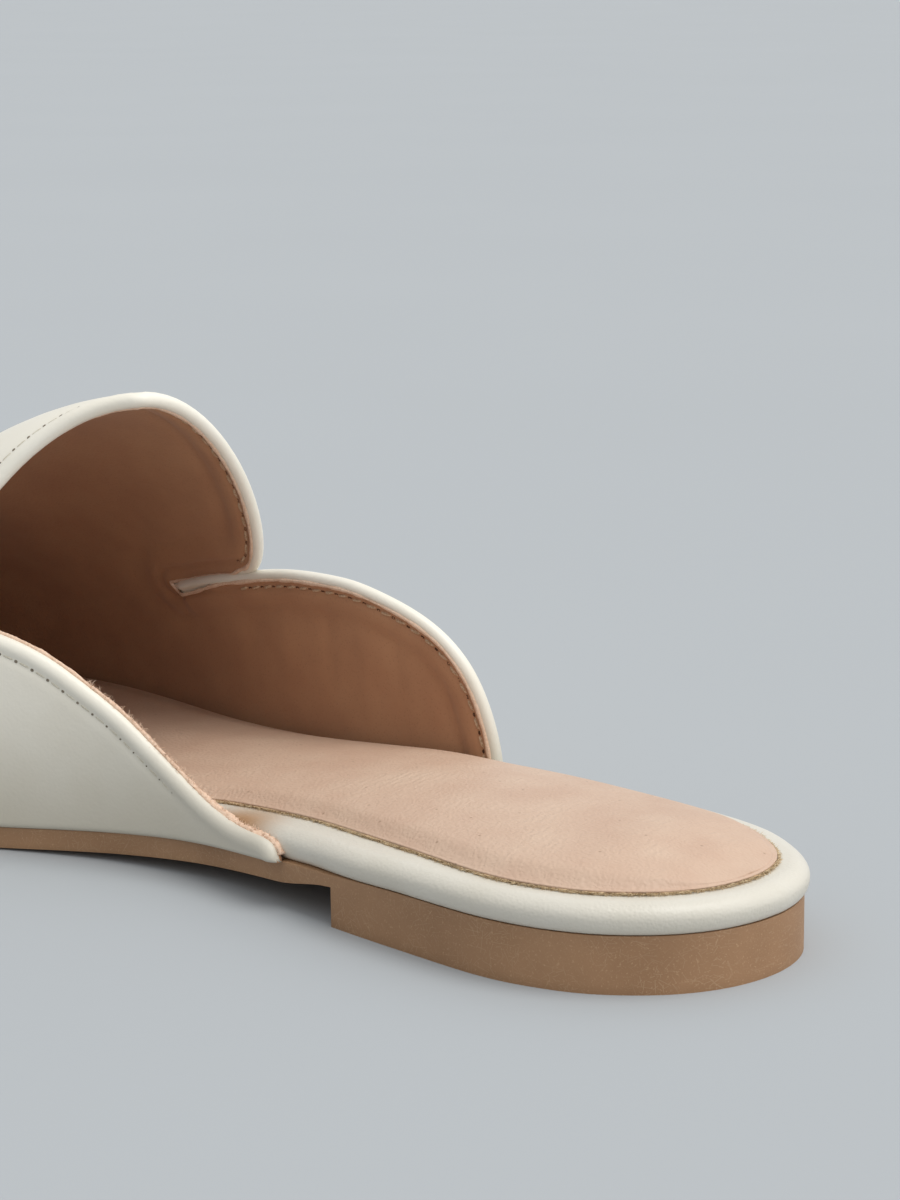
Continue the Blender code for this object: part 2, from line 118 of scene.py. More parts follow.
# place along the length, height of the quarter's top edge as a share of the tab's height
INNER_QUARTER = [
    (0.290, 0.000), (0.2904, 0.022), (0.292, 0.037), (0.297, 0.045), (0.308, 0.047), (0.330, 0.055),
    (0.359, 0.091), (0.394, 0.173), (0.428, 0.268), (0.454, 0.330), (0.476, 0.382), (0.498, 0.420),
    (0.519, 0.444), (0.541, 0.458), (0.563, 0.461), (0.596, 0.446), (0.630, 0.410),
]
OUTER_QUARTER = [
    (0.291, 0.000), (0.292, 0.060), (0.296, 0.135), (0.304, 0.225), (0.315, 0.298), (0.337, 0.375),
    (0.369, 0.433), (0.408, 0.472), (0.450, 0.480), (0.504, 0.462), (0.544, 0.440), (0.585, 0.401),
]
# share of the way back from the inner slit's end, height of the tab's lower edge
INNER_TAB = [(0.00, 0.410), (0.50, 0.459), (1.00, 0.482)]
# the outer edge of the tab follows the quarter that it rests on, pressed down by a hair
TAB_PRESS = -0.007
# side: place of the tab's corner, how far its rear edge lies ahead there, how far the corner rounds
TAB_CORNERS = {INNER: (0.556, 0.090, 0.030), OUTER: (0.500, 0.000, 0.036)}

# %% [markdown]
# ## Curves through the tables
#
# A monotone cubic line never overshoots its rows, but its bend jumps at each row, and glossy leather
# shows such a jump as a band.  So the line is sampled finely and averaged with a bell-shaped weight.
# For the outline this is done on the closed ring, heel and toe included, so both ends stay round.

# %% Smooth lines
def smooth(value):
    """A rise from 0 to 1 with level ends: 3 v^2 - 2 v^3."""
    value = np.clip(value, 0, 1)
    return value * value * (3 - 2 * value)


def ease(value, start, reach):
    """A smooth rise from 0 at the start to 1 after the reach."""
    return smooth((value - start) / reach)


def follow(table, column, place):
    """A monotone cubic line through one column of a table, whose slopes are harmonic means."""
    rows = np.array(table, dtype=float)
    xs, ys = rows[:, 0], rows[:, column]
    gaps = np.diff(xs)
    slopes = np.diff(ys) / gaps
    flat = slopes[:-1] * slopes[1:] <= 0
    before, after = 2 * gaps[1:] + gaps[:-1], gaps[1:] + 2 * gaps[:-1]
    left, right = np.where(flat, 1, slopes[:-1]), np.where(flat, 1, slopes[1:])
    means = np.where(flat, 0, (before + after) / (before / left + after / right))
    bends = np.concatenate([slopes[:1], means, slopes[-1:]])
    place = np.clip(place, xs[0], xs[-1])
    index = np.clip(np.searchsorted(xs, place) - 1, 0, len(gaps) - 1)
    gap = gaps[index]
    step = (place - xs[index]) / gap
    rise = ys[index] * (1 + 2 * step) * (1 - step) ** 2
    rise = rise + bends[index] * gap * step * (1 - step) ** 2
    rise = rise + ys[index + 1] * step ** 2 * (3 - 2 * step)
    return rise + bends[index + 1] * gap * step ** 2 * (step - 1)


def soften(values, reach, closed=False):
    """Each value becomes the average of its neighbours, weighted by exp(-(steps / reach)^2 / 2)."""
    pad = 3 * reach
    weights = np.exp(-0.5 * (np.arange(-pad, pad + 1) / reach) ** 2)
    if closed:
        padded = np.concatenate([values[-pad:], values, values[:pad]])
    else:
        before = 2 * values[0] - values[pad:0:-1]
        after = 2 * values[-1] - values[-2:-pad - 2:-1]
        padded = np.concatenate([before, values, after])
    return np.convolve(padded, weights / weights.sum(), "valid")


def swing(share):
    """Place along the length as an angle, arccos(1 - 2 s) / pi, so that round ends get even steps."""
    return np.arccos(1 - 2 * np.clip(share, 0, 1)) / np.pi


RING_STEPS = 4000
ring_at = np.arange(RING_STEPS) * 2 / RING_STEPS
swung = [(float(swing(row[0])), row[1], row[2]) for row in OUTLINE]
half_at = np.minimum(ring_at, 2 - ring_at)
ring_side = np.where(ring_at <= 1, follow(swung, 1, half_at), follow(swung, 2, half_at))
ring_side = soften(ring_side, RING_STEPS // 200, closed=True) * BALL_WIDTH

ridge_at = np.linspace(RIDGE[0][0], RIDGE[-1][0], 1500)
ridge_tab = soften(follow(RIDGE, 1, ridge_at), 24)
ridge_toe = soften(follow(RIDGE, 2, ridge_at), 24)
print("outline ring:", RING_STEPS, "samples")

# %% [markdown]
# ## The sole's heights
#
# The outsole is thick under the heel, thin under the ball, and lifts at the toe.  The footbed and the
# insole follow its upper face, so a few short functions carry all the layers.

# %% Heights and edges of the sole
def edge(x, side):
    """Distance of the outsole's edge from the middle line at x; side is +1 inside and -1 outside."""
    place = swing(x / LENGTH)
    return np.interp(np.where(side > 0, place, 2 - place), ring_at, ring_side, period=2)


def sole_top(x):
    """Height of the outsole's upper face: from the heel's height to the sheet's, plus the toe spring."""
    start = 0.70 * LENGTH
    spring = TOE_SPRING * np.clip((x - start) / (LENGTH - start), 0, 1) ** 2
    return HEEL_HEIGHT + (SHEET - HEEL_HEIGHT) * ease(x, 0.68 * BREAST_X, 0.41 * LENGTH) + spring


def sole_under(x):
    """Height of the outsole's lower face in front of the heel block."""
    thinner = BREAST_THIN * (1 - ease(x, BREAST_X, 4 * SHEET))
    return np.maximum(sole_top(x) - SHEET + thinner, 0)


def bed_top(x):
    """Height of the footbed's upper face."""
    return sole_top(x) + CLEAR + BED


def upper_out(x):
    """How far the upper's outside stands beyond the outsole's edge."""
    return OVERHANG + (END_OVERHANG - OVERHANG) * (1 - ease(x, 0.28 * LENGTH, 0.13 * LENGTH))


def bed_out(x):
    """How far the rim stands beyond the outsole's edge: proud at the heel, hidden in the upper."""
    inside = upper_out(x) - WALL - CLEAR
    hidden = ease(x, 0.215 * LENGTH, 0.06 * LENGTH)
    return RIM_PROUD + (inside - RIM_PROUD) * hidden - BED_PLAY * ease(x, 0.30 * LENGTH, 0.10 * LENGTH)


def sock_out(x, side):
    """Offset of the insole's edge: a bare lip at heel and waist, then wall to wall."""
    wall = upper_out(x) - WALL - SOCK_PLAY
    lip = -LIP_HEEL - (LIP_WAIST - LIP_HEEL) * ease(x, 0.12 * LENGTH, 0.18 * LENGTH)
    inner = lip + (wall - lip) * ease(x, 0.37 * LENGTH, 0.09 * LENGTH)
    outer = -LIP_HEEL + (wall + LIP_HEEL) * ease(x, 0.24 * LENGTH, 0.10 * LENGTH)
    return np.where(side > 0, inner, outer)


def sock_crown(x, share):
    """Extra height of the padding across the insole, as a power of a half sine wave."""
    fade = 1 - 0.90 * ease(x, 0.20 * LENGTH, 0.33 * LENGTH)
    ends = smooth(x / (0.09 * LENGTH)) * smooth((LENGTH - x) / (0.12 * LENGTH))
    return SOCK_CROWN * fade * ends * np.sin(np.pi * np.clip(share, 0, 1)) ** 0.8


print("sole under heel and ball, mm:", [round(float(sole_top(x)) / MM, 1) for x in (0, 0.6 * LENGTH)])

# %% [markdown]
# ## From grids to meshes
#
# A surface worked out on a grid is a block of points, rows by columns.  Several blocks make one piece
# when their shared borders are the same points, so points that coincide are merged.  Where a row
# shrinks to a single point, its quads turn into triangles.

# %% Grid and mesh helpers
def unit(vectors):
    """Vectors divided by their own length."""
    return vectors / np.maximum(np.linalg.norm(vectors, axis=-1, keepdims=True), 1e-15)


def grid_faces(rows, columns, closed=False):
    """Quads of a grid: each joins a point, its right neighbour and the two above them."""
    index = np.arange(rows * columns).reshape(rows, columns)
    if closed:
        index = np.concatenate([index, index[:, :1]], axis=1)
    quads = [index[:-1, :-1], index[:-1, 1:], index[1:, 1:], index[1:, :-1]]
    return np.stack(quads, axis=-1).reshape(-1, 4)


def join_blocks(blocks):
    """Stack blocks of grid points, each with True if its faces are to be turned over, and merge
    the points that lie on each other; also tells which points were kept."""
    quads = []
    count = 0
    for block, turned in blocks:
        made = grid_faces(*block.shape[:2]) + count
        quads.append(made[:, ::-1] if turned else made)
        count += block.shape[0] * block.shape[1]
    points = np.concatenate([block.reshape(-1, 3) for block, _ in blocks])
    keys = np.round(points / (0.2e-6)).astype(np.int64)
    _, kept, number = np.unique(keys, axis=0, return_index=True, return_inverse=True)
    return points[kept], number.ravel()[np.concatenate(quads)], kept


def tidy_faces(quads):
    """Quads as lists, with a corner that is named twice left out; faces without area are dropped."""
    same = quads == np.roll(quads, -1, axis=1)
    double = same.any(axis=1)
    thin = [[corner for corner, twin in zip(quad, twins) if not twin]
            for quad, twins in zip(quads[double].tolist(), same[double].tolist())]
    return quads[~double].tolist() + [ring for ring in thin if len(set(ring)) > 2]


def add_piece(name, points, quads, material, node):
    """Make a mesh object in the model's frame, and let it ride and stand for its solid."""
    mesh = bpy.data.meshes.new(name)
    mesh.from_pydata((points + ORIGIN).tolist(), [], tidy_faces(quads))
    mesh.validate()
    mesh.update()
    mesh.shade_smooth()
    piece = bpy.data.objects.new(name, mesh)
    bpy.context.scene.collection.objects.link(piece)
    mesh.materials.append(material)
    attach(piece, "root")
    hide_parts(node)
    print(name, "faces:", len(mesh.polygons))
    return piece


# %% [markdown]
# ## Colours and nodes
#
# Colours are read off as sRGB hex values, but Blender's shaders count in linear light, so one function
# turns them.  One more adds a node with its settings, its fixed values and its links.  A material is
# then a short list of nodes, each with a size in millimetres behind its scale.

# %% Material helpers
def linear(hex_colour):
    """An sRGB hex colour as linear red, green, blue and alpha."""
    values = [int(hex_colour[i:i + 2], 16) / 255 for i in (1, 3, 5)]
    return [v / 12.92 if v < 0.04045 else ((v + 0.055) / 1.055) ** 2.4 for v in values] + [1.0]


def feed(tree, node, links):
    """Feed sockets of a node from other nodes, from their first output where none is named."""
    for socket, source in links.items():
        if isinstance(source, bpy.types.Node):
            source = next(output for output in source.outputs if output.enabled)
        tree.links.new(source, node.inputs[socket])


def add_node(tree, kind, values=None, links=None, stops=(), **settings):
    """Add a node: values are fixed sockets, links feed sockets, stops are a ramp's colours."""
    made = tree.nodes.new(kind)
    for name, value in settings.items():
        setattr(made, name, value)
    for socket, value in (values or {}).items():
        made.inputs[socket].default_value = value
    feed(tree, made, links or {})
    for number, (position, colour) in enumerate(stops):
        made.color_ramp.elements[number].position = position
        made.color_ramp.elements[number].color = linear(colour)
    return made


def new_material(name, roughness, **sockets):
    """A material with its Principled shader, and the object's own coordinates in metres."""
    material = bpy.data.materials.new(name)
    material.use_nodes = True
    tree = material.node_tree
    shader = tree.nodes["Principled BSDF"]
    for socket, value in {"Roughness": roughness, **sockets}.items():
        shader.inputs[socket.replace("_", " ")].default_value = value
    return material, tree, shader, add_node(tree, "ShaderNodeTexCoord").outputs["Object"]


# %% [markdown]
# ## Cream leather
#
# The upper and the rim are split leather with a thin coat of polyurethane, pressed between rollers.
# That gives an even cream colour, a fine low grain about half a millimetre wide and a soft sheen.
# The colour barely varies, so the mottling is faint, and the grain lives in the bump.

# %% Make the cream leather
def cream_leather(name, light, dark, grain, relief, roughness, marks_and_painted_light):
    """Coated leather: faint mottling 14 mm wide, soft waves 5 mm wide and grain of a given width."""
    material, tree, shader, place = new_material(name, roughness)
    clouds = add_node(tree, "ShaderNodeTexNoise", {"Scale": 1 / (14 * MM), "Detail": 4.0},
                      {"Vector": place})
    tint = add_node(tree, "ShaderNodeValToRGB", None, {"Fac": clouds}, [(0.3, dark), (0.7, light)])
    sheen = add_node(tree, "ShaderNodeTexNoise", {"Scale": 1 / (3 * MM), "Detail": 3.0},
                     {"Vector": place})
    gloss = add_node(tree, "ShaderNodeMapRange",
                     {"To Min": roughness - 0.06, "To Max": roughness + 0.08}, {"Value": sheen})
    waves = add_node(tree, "ShaderNodeTexNoise", {"Scale": 1 / (5 * MM), "Detail": 2.0},
                     {"Vector": place})
    pores = add_node(tree, "ShaderNodeTexVoronoi", {"Scale": 1 / grain}, {"Vector": place},
                     feature="SMOOTH_F1")
    soft = add_node(tree, "ShaderNodeBump", {"Strength": 1.0, "Distance": 0.06 * MM},
                    {"Height": waves})
    fine = add_node(tree, "ShaderNodeBump", {"Strength": 0.7, "Distance": relief},
                    {"Height": pores, "Normal": soft})
    # the last argument adds painted light to the colour: painted shade near the sole, or a painted
    # contact shadow and reflection on the rim
    feed(tree, shader, {"Base Color": marks_and_painted_light(tree, place, tint), "Roughness": gloss,
                        "Normal": fine})
    return material


def upper_painted_shade(tree, place, colour):
    """Painted shade on the upper: a darker, greyer colour towards the sole, gone 32 mm above the floor.
    """
    parts = add_node(tree, "ShaderNodeSeparateXYZ", None, {"Vector": place})
    shade_paint = add_node(tree, "ShaderNodeMapRange", {"From Min": 3 * MM, "From Max": 32 * MM,
                                                 "To Min": 0.60, "To Max": 0.0},
                    {"Value": parts.outputs["Z"]}, interpolation_type="SMOOTHSTEP")
    # painted shade: grey #A39B88 mixed in at up to 0.60 near the floor, none from 32 mm up
    return add_node(tree, "ShaderNodeMix", {"B": linear("#A39B88")}, {"Factor": shade_paint, "A": colour},
                    data_type="RGBA")


def rim_painted_contact_shadow(tree, place, colour):
    """Painted contact shadow and painted reflection of the tan lining on the rim, beside the inner
    quarter's tail, gone 13 mm away.
    """
    # centre of the painted contact shadow and painted reflection: the inner quarter's tail
    tail = np.array((0.338 * LENGTH, 0.235 * BALL_WIDTH, 12.5 * MM)) + ORIGIN
    away = add_node(tree, "ShaderNodeVectorMath", {1: tail.tolist()}, {0: place},
                    operation="DISTANCE")
    shadow_paint = add_node(tree, "ShaderNodeMapRange", {"From Min": 0.0, "From Max": 13 * MM,
                                                   "To Min": 0.95, "To Max": 0.0},
                      {"Value": away}, interpolation_type="SMOOTHSTEP")
    # painted contact shadow and painted reflection: tan #A3733F at up to 0.95 next to the tail
    return add_node(tree, "ShaderNodeMix", {"B": linear("#A3733F")}, {"Factor": shadow_paint, "A": colour},
                    data_type="RGBA")


# the upper's leather gets painted shade towards the sole; the rim's gets a painted contact shadow and
# painted reflection beside the inner quarter's tail
upper_cream = cream_leather("coated_cream_leather", "#F0EBDE", "#EAE4D5", 0.55 * MM, 0.03 * MM, 0.40,
                            upper_painted_shade)
rim_cream = cream_leather("wrapped_cream_leather", "#D6D1C5", "#D0CABC", 0.45 * MM, 0.07 * MM, 0.36,
                          rim_painted_contact_shadow)
print("cream leathers made")

# %% [markdown]
# ## Tan lining and insole
#
# The lining is a brushed synthetic with fine pores, matt and a little darker than the insole.  The
# insole's cover is a soft coated leather over foam: its grain is drawn out into short ripples where
# the foam gives way, and a few specks of dirt stick to it.

# %% Make the lining
def tan_lining():
    """Brushed synthetic: clouds 9 mm wide and dark pores 0.6 mm apart, drawn as coarse as they show."""
    material, tree, shader, place = new_material("brushed_tan_lining", 0.72, Sheen_Weight=0.15)
    clouds = add_node(tree, "ShaderNodeTexNoise", {"Scale": 1 / (9 * MM), "Detail": 5.0},
                      {"Vector": place})
    tint = add_node(tree, "ShaderNodeValToRGB", None, {"Fac": clouds},
                    [(0.3, "#AD7D5B"), (0.7, "#B78864")])
    pores = add_node(tree, "ShaderNodeTexVoronoi", {"Scale": 1 / (0.6 * MM)}, {"Vector": place})
    dots = add_node(tree, "ShaderNodeMapRange", {"From Min": 0.10, "From Max": 0.30,
                                                 "To Min": 0.35, "To Max": 0.0}, {"Value": pores})
    colour = add_node(tree, "ShaderNodeMix", {"B": linear("#8F6244")},
                      {"Factor": dots, "A": tint}, data_type="RGBA")
    nap = add_node(tree, "ShaderNodeBump", {"Strength": 0.4, "Distance": 0.05 * MM},
                   {"Height": pores})
    feed(tree, shader, {"Base Color": colour, "Normal": nap})
    return material


lining_tan = tan_lining()
print("lining made")

# %% Make the insole's cover
def specks_of_dirt(tree, place):
    """Small round specks in some of the cells of a 7 mm pattern, seen from above."""
    dirt = add_node(tree, "ShaderNodeTexVoronoi", {"Scale": 1 / (7 * MM)}, {"Vector": place},
                    voronoi_dimensions="2D")
    dice = add_node(tree, "ShaderNodeSeparateColor", None, {"Color": dirt.outputs["Color"]})
    some = add_node(tree, "ShaderNodeMath", {1: 0.62}, {0: dice}, operation="GREATER_THAN")
    speck = add_node(tree, "ShaderNodeMapRange", {"From Min": 0.020, "From Max": 0.042,
                                                  "To Min": 0.55, "To Max": 0.0}, {"Value": dirt})
    return add_node(tree, "ShaderNodeMath", None, {0: speck, 1: some}, operation="MULTIPLY")


def insole_cover():
    """Soft coated leather: grain 0.55 mm wide, ripples 1.3 mm apart in places, and specks of dirt."""
    material, tree, shader, place = new_material("soft_tan_insole", 0.50)
    clouds = add_node(tree, "ShaderNodeTexNoise", {"Scale": 1 / (11 * MM), "Detail": 5.0},
                      {"Vector": place})
    tint = add_node(tree, "ShaderNodeValToRGB", None, {"Fac": clouds},
                    [(0.3, "#C3A38C"), (0.7, "#CCB099")])
    colour = add_node(tree, "ShaderNodeMix", {"B": linear("#8E7059")},
                      {"Factor": specks_of_dirt(tree, place), "A": tint}, data_type="RGBA")
    bend = add_node(tree, "ShaderNodeTexNoise", {"Scale": 1 / (4 * MM), "Detail": 3.0},
                    {"Vector": place})
    shift = add_node(tree, "ShaderNodeVectorMath", {"Scale": 1.6 * MM},
                     {"Vector": bend.outputs["Color"]}, operation="SCALE")
    warped = add_node(tree, "ShaderNodeVectorMath", None, {0: place, 1: shift}, operation="ADD")
    grain = add_node(tree, "ShaderNodeTexVoronoi", {"Scale": 1 / (0.55 * MM)}, {"Vector": warped},
                     feature="SMOOTH_F1")
    ripples = add_node(tree, "ShaderNodeTexWave", {"Scale": 1 / (5.6 * MM), "Distortion": 5.0,
                                                   "Detail": 2.0, "Detail Scale": 2.0},
                       {"Vector": warped})
    where = add_node(tree, "ShaderNodeMapRange", {"From Min": 0.48, "From Max": 0.68},
                     {"Value": clouds})
    drawn = add_node(tree, "ShaderNodeMath", None, {0: ripples.outputs["Fac"], 1: where},
                     operation="MULTIPLY")
    rippled = add_node(tree, "ShaderNodeBump", {"Strength": 0.55, "Distance": 0.09 * MM},
                       {"Height": drawn})
    grained = add_node(tree, "ShaderNodeBump", {"Strength": 0.8, "Distance": 0.14 * MM},
                       {"Height": grain, "Normal": rippled})
    feed(tree, shader, {"Base Color": colour, "Normal": grained})
    return material


insole_tan = insole_cover()
print("insole leather made")

# %% [markdown]
# ## Cut edges, board and thread
#
# A cut edge shows the inside of a material: felted fibres, uneven and without gloss.  The same recipe
# serves for the lining's pale edge, the insole's brown board, loose fibres, thread and the dark of a
# needle hole, each in its own two colours.

# %% Make the raw edges and the thread
def raw_edge(name, light, dark, size):
    """Felted fibres: a rough noise in two colours, with a deep bump of the same pattern."""
    material, tree, shader, place = new_material(name, 0.95)
    fibres = add_node(tree, "ShaderNodeTexNoise",
                      {"Scale": 1 / size, "Detail": 6.0, "Roughness": 0.75}, {"Vector": place})
    colour = add_node(tree, "ShaderNodeValToRGB", None, {"Fac": fibres},
                      [(0.38, dark), (0.62, light)])
    relief = add_node(tree, "ShaderNodeBump", {"Strength": 0.8, "Distance": 0.15 * MM},
                      {"Height": fibres})
    feed(tree, shader, {"Base Color": colour, "Normal": relief})
    return material


edge_peach = raw_edge("raw_lining_edge", "#EBCFB8", "#D9B598", 0.5 * MM)
board_brown = raw_edge("raw_insole_board", "#EDD3AC", "#B4946C", 0.45 * MM)
fibre_tan = raw_edge("loose_board_fibres", "#EDD8B4", "#B89B74", 0.8 * MM)
thread_cream = raw_edge("sewing_thread_cream", "#E2DCCB", "#C9C0AB", 0.3 * MM)
thread_tan = raw_edge("sewing_thread_tan", "#D9BFA2", "#A98562", 0.3 * MM)
# painted shade: the needle holes' dark colours stand for the shade inside each hole
hole_dark = raw_edge("needle_hole_shade", "#9A8E7C", "#6E6455", 0.3 * MM)
lining_hole = raw_edge("lining_hole_shade", "#5B3C28", "#3A2416", 0.3 * MM)
print("raw edges made")

# %% [markdown]
# ## Brown rubber
#
# The outsole is moulded rubber, buffed at the side after moulding.  Buffing leaves thousands of short
# pale hairlines that point every way.  Each is drawn in a Voronoi cell: the cell's own random colour
# turns the vector from its centre, and the line shows where one turned coordinate is almost zero.

# %% Make the rubber
def hairlines(tree, place, cell, shift):
    """One size of hairlines: a thin streak in a bit more than half of the cells."""
    moved = add_node(tree, "ShaderNodeVectorMath", {1: shift}, {0: place}, operation="ADD")
    found = add_node(tree, "ShaderNodeTexVoronoi", {"Scale": 1 / cell}, {"Vector": moved})
    away = add_node(tree, "ShaderNodeVectorMath", None, {0: moved, 1: found.outputs["Position"]},
                    operation="SUBTRACT")
    dice = add_node(tree, "ShaderNodeSeparateColor", None, {"Color": found.outputs["Color"]})
    angle = add_node(tree, "ShaderNodeMath", {1: 6.283}, {0: dice}, operation="MULTIPLY")
    turned = add_node(tree, "ShaderNodeVectorRotate", None, {"Vector": away, "Angle": angle},
                      rotation_type="Y_AXIS")
    parts = add_node(tree, "ShaderNodeSeparateXYZ", None, {"Vector": turned})
    off = add_node(tree, "ShaderNodeMath", None, {0: parts.outputs["Z"]}, operation="ABSOLUTE")
    thin = add_node(tree, "ShaderNodeMapRange", {"From Min": 0.02 * MM, "From Max": 0.06 * MM,
                                                 "To Min": 1.0, "To Max": 0.0}, {"Value": off})
    some = add_node(tree, "ShaderNodeMath", {1: 0.45}, {0: dice.outputs["Green"]},
                    operation="GREATER_THAN")
    return add_node(tree, "ShaderNodeMath", None, {0: thin, 1: some}, operation="MULTIPLY")


def brown_rubber():
    """Buffed rubber: brown clouds, pale hairlines in cells of three sizes, and fine specks."""
    material, tree, shader, place = new_material("buffed_brown_rubber", 0.58)
    clouds = add_node(tree, "ShaderNodeTexNoise", {"Scale": 1 / (16 * MM), "Detail": 6.0},
                      {"Vector": place})
    tint = add_node(tree, "ShaderNodeValToRGB", None, {"Fac": clouds},
                    [(0.3, "#967150"), (0.7, "#A8815E")])
    lines = hairlines(tree, place, 0.9 * MM, (0.0, 0.0, 0.0))
    for cell, shift in ((1.6 * MM, (0.013, 0.0, 0.007)), (2.7 * MM, (0.026, 0.0, 0.014))):
        lines = add_node(tree, "ShaderNodeMath", None,
                         {0: lines, 1: hairlines(tree, place, cell, shift)}, operation="MAXIMUM")
    patchy = add_node(tree, "ShaderNodeTexNoise", {"Scale": 1 / (7 * MM), "Detail": 3.0},
                      {"Vector": place})
    amount = add_node(tree, "ShaderNodeMapRange", {"From Min": 0.38, "From Max": 0.66,
                                                   "To Min": 0.05, "To Max": 0.34},
                      {"Value": patchy})
    marks_and_painted_light = add_node(tree, "ShaderNodeMath", None, {0: lines, 1: amount}, operation="MULTIPLY")
    scuffed = add_node(tree, "ShaderNodeMix", {"B": linear("#C9AE8C")},
                       {"Factor": marks_and_painted_light, "A": tint}, data_type="RGBA")
    sand = add_node(tree, "ShaderNodeTexNoise", {"Scale": 1 / (0.35 * MM), "Detail": 2.0},
                    {"Vector": place})
    specks = add_node(tree, "ShaderNodeMapRange", {"From Min": 0.60, "From Max": 0.74,
                                                   "To Min": 0.0, "To Max": 0.45}, {"Value": sand})
    dotted = add_node(tree, "ShaderNodeMix", {"B": linear("#C7A57F")},
                      {"Factor": specks, "A": scuffed}, data_type="RGBA")
    relief = add_node(tree, "ShaderNodeBump", {"Strength": 0.5, "Distance": 0.05 * MM},
                      {"Height": sand})
    feed(tree, shader, {"Base Color": dotted, "Normal": relief})
    return material


rubber_brown = brown_rubber()
print("rubber made")

# %% [markdown]
# ## The outsole
#
# The real outsole is one moulded unit with a low heel block.  Its side is straight, so the surface is
# the outline carried upwards.  It is built in two bands: the upper one goes all the way round, and the
# lower one only round the heel, down to the floor.  A bevel then breaks the sharp edges.

# %% Build the outsole
HALF_STEPS = 190
half_share = np.linspace(0, 1, HALF_STEPS + 1)
breast = int(round(float(swing(BREAST_X / LENGTH)) * HALF_STEPS))
half_share[breast] = swing(BREAST_X / LENGTH)
half_x = LENGTH * (1 - np.cos(np.pi * half_share)) / 2
inner_line = np.stack([half_x, edge(half_x, INNER)], axis=1)
outer_line = np.stack([half_x, edge(half_x, OUTER)], axis=1)


def across_rows(part, height):
    """A cap over a part of the outline: twelve steps from the inner edge to the outer one."""
    share = np.linspace(0, 1, 13)[None, :, None]
    inner, outer = inner_line[part, None, :], outer_line[part, None, :]
    flat = inner + (outer - inner) * share
    return np.concatenate([flat, height(flat[..., :1])], axis=2)


def upright(line, low, high):
    """A wall of four steps over a line of points, from its low to its high heights."""
    z = low + (high - low) * np.linspace(0, 1, 5)[:, None]
    z = np.broadcast_to(z, (5, len(line)))
    return np.concatenate([np.repeat(line[None, :, :], 5, axis=0), z[..., None]], axis=2)


def on_floor(x):
    """Height zero."""
    return 0 * x


heel, front_part = slice(0, breast + 1), slice(breast, None)
round_line = np.concatenate([inner_line, outer_line[::-1][1:]])
heel_line = np.concatenate([outer_line[heel][::-1], inner_line[1:breast + 1]])
breast_high = sole_under(BREAST_X)
split = np.where(round_line[:, 0] < BREAST_X, breast_high, sole_under(round_line[:, 0]))
outsole_points, outsole_quads, _ = join_blocks([
    (upright(round_line, split, sole_top(round_line[:, 0])), True),
    (upright(heel_line, 0.0, breast_high), True),
    (upright(across_rows(slice(breast, breast + 1), on_floor)[0, :, :2], 0.0, breast_high), True),
    (across_rows(heel, on_floor), True),
    (across_rows(front_part, sole_under), True),
    (across_rows(slice(None), sole_top), False),
])
outsole_piece = add_piece("outsole_rubber", outsole_points, outsole_quads, rubber_brown, "outsole")
broken = outsole_piece.modifiers.new("broken_edges", "BEVEL")
broken.width = 0.45 * MM
broken.segments = 3
broken.limit_method = "ANGLE"
broken.angle_limit = np.radians(40)
broken.harden_normals = False

# %% [markdown]
# ## Layers round the sole
#
# Footbed and insole are stacks of closed loops.  A loop is the outline moved along its own normal, so
# that a rim keeps its width round the heel's curve.

# %% Loops round the sole
LOOP_STEPS = 760


def ring_frame(line):
    """Direction of a closed line at each point, and the way outwards."""
    along = unit(np.roll(line, -1, axis=0) - np.roll(line, 1, axis=0))
    return along, np.stack([-along[:, 1], along[:, 0]], axis=1)


def sole_loop(offset):
    """Points round the sole, moved outwards by offset(x, side)."""
    at = np.arange(LOOP_STEPS) * 2 / LOOP_STEPS
    x = LENGTH * (1 - np.cos(np.pi * at)) / 2
    line = np.stack([x, np.interp(at, ring_at, ring_side, period=2)], axis=1)
    return line + ring_frame(line)[1] * offset(x, np.where(at <= 1, INNER, OUTER))[:, None]


def stack_of_loops(layers):
    """A grid of closed loops: each layer has its offset(x, side) and its height(x)."""
    loops = [(sole_loop(offset), height) for offset, height in layers]
    return np.stack([np.concatenate([loop, height(loop[:, :1])], axis=1) for loop, height in loops])


def cap_rows(loop, share, rise=None):
    """A cap over a loop: lines between its two halves, cut at the shares, raised by rise(x, share)."""
    half = LOOP_STEPS // 2
    inner = loop[:half + 1, None, :]
    outer = np.concatenate([loop[:1], loop[half:][::-1]])[:, None, :]
    spots = inner + (outer - inner) * share[None, :, None]
    if rise is not None:
        spots[..., 2] += rise(spots[..., 0], np.broadcast_to(share, spots.shape[:2]))
    return spots


def loops_and_caps(rows, share, rise=None):
    """One closed body: the wall of loops, a plain cap below and a cap above."""
    wall = np.concatenate([rows, rows[:, :1]], axis=1)
    return join_blocks([(wall, True), (cap_rows(rows[-1], share, rise), False),
                        (cap_rows(rows[0], np.linspace(0, 1, 3)), True)])[:2]


# %% [markdown]
# ## The wrapped footbed
#
# A thin board is wrapped in the cream leather, which makes a soft bullnose all round: half an ellipse
# as high as the board.  Its lower border drifts a little, because the wrap is glued down by hand.

# %% Build the footbed
def wander(x):
    """A drift of up to 0.1 mm along x: three waves of unrelated lengths added up."""
    waves = np.sin(x / (5.3 * MM)) + 0.7 * np.sin(x / (2.9 * MM) + 1.3)
    return 0.10 * MM * (waves + 0.5 * np.sin(x / (1.7 * MM) + 0.4)) / 2.2


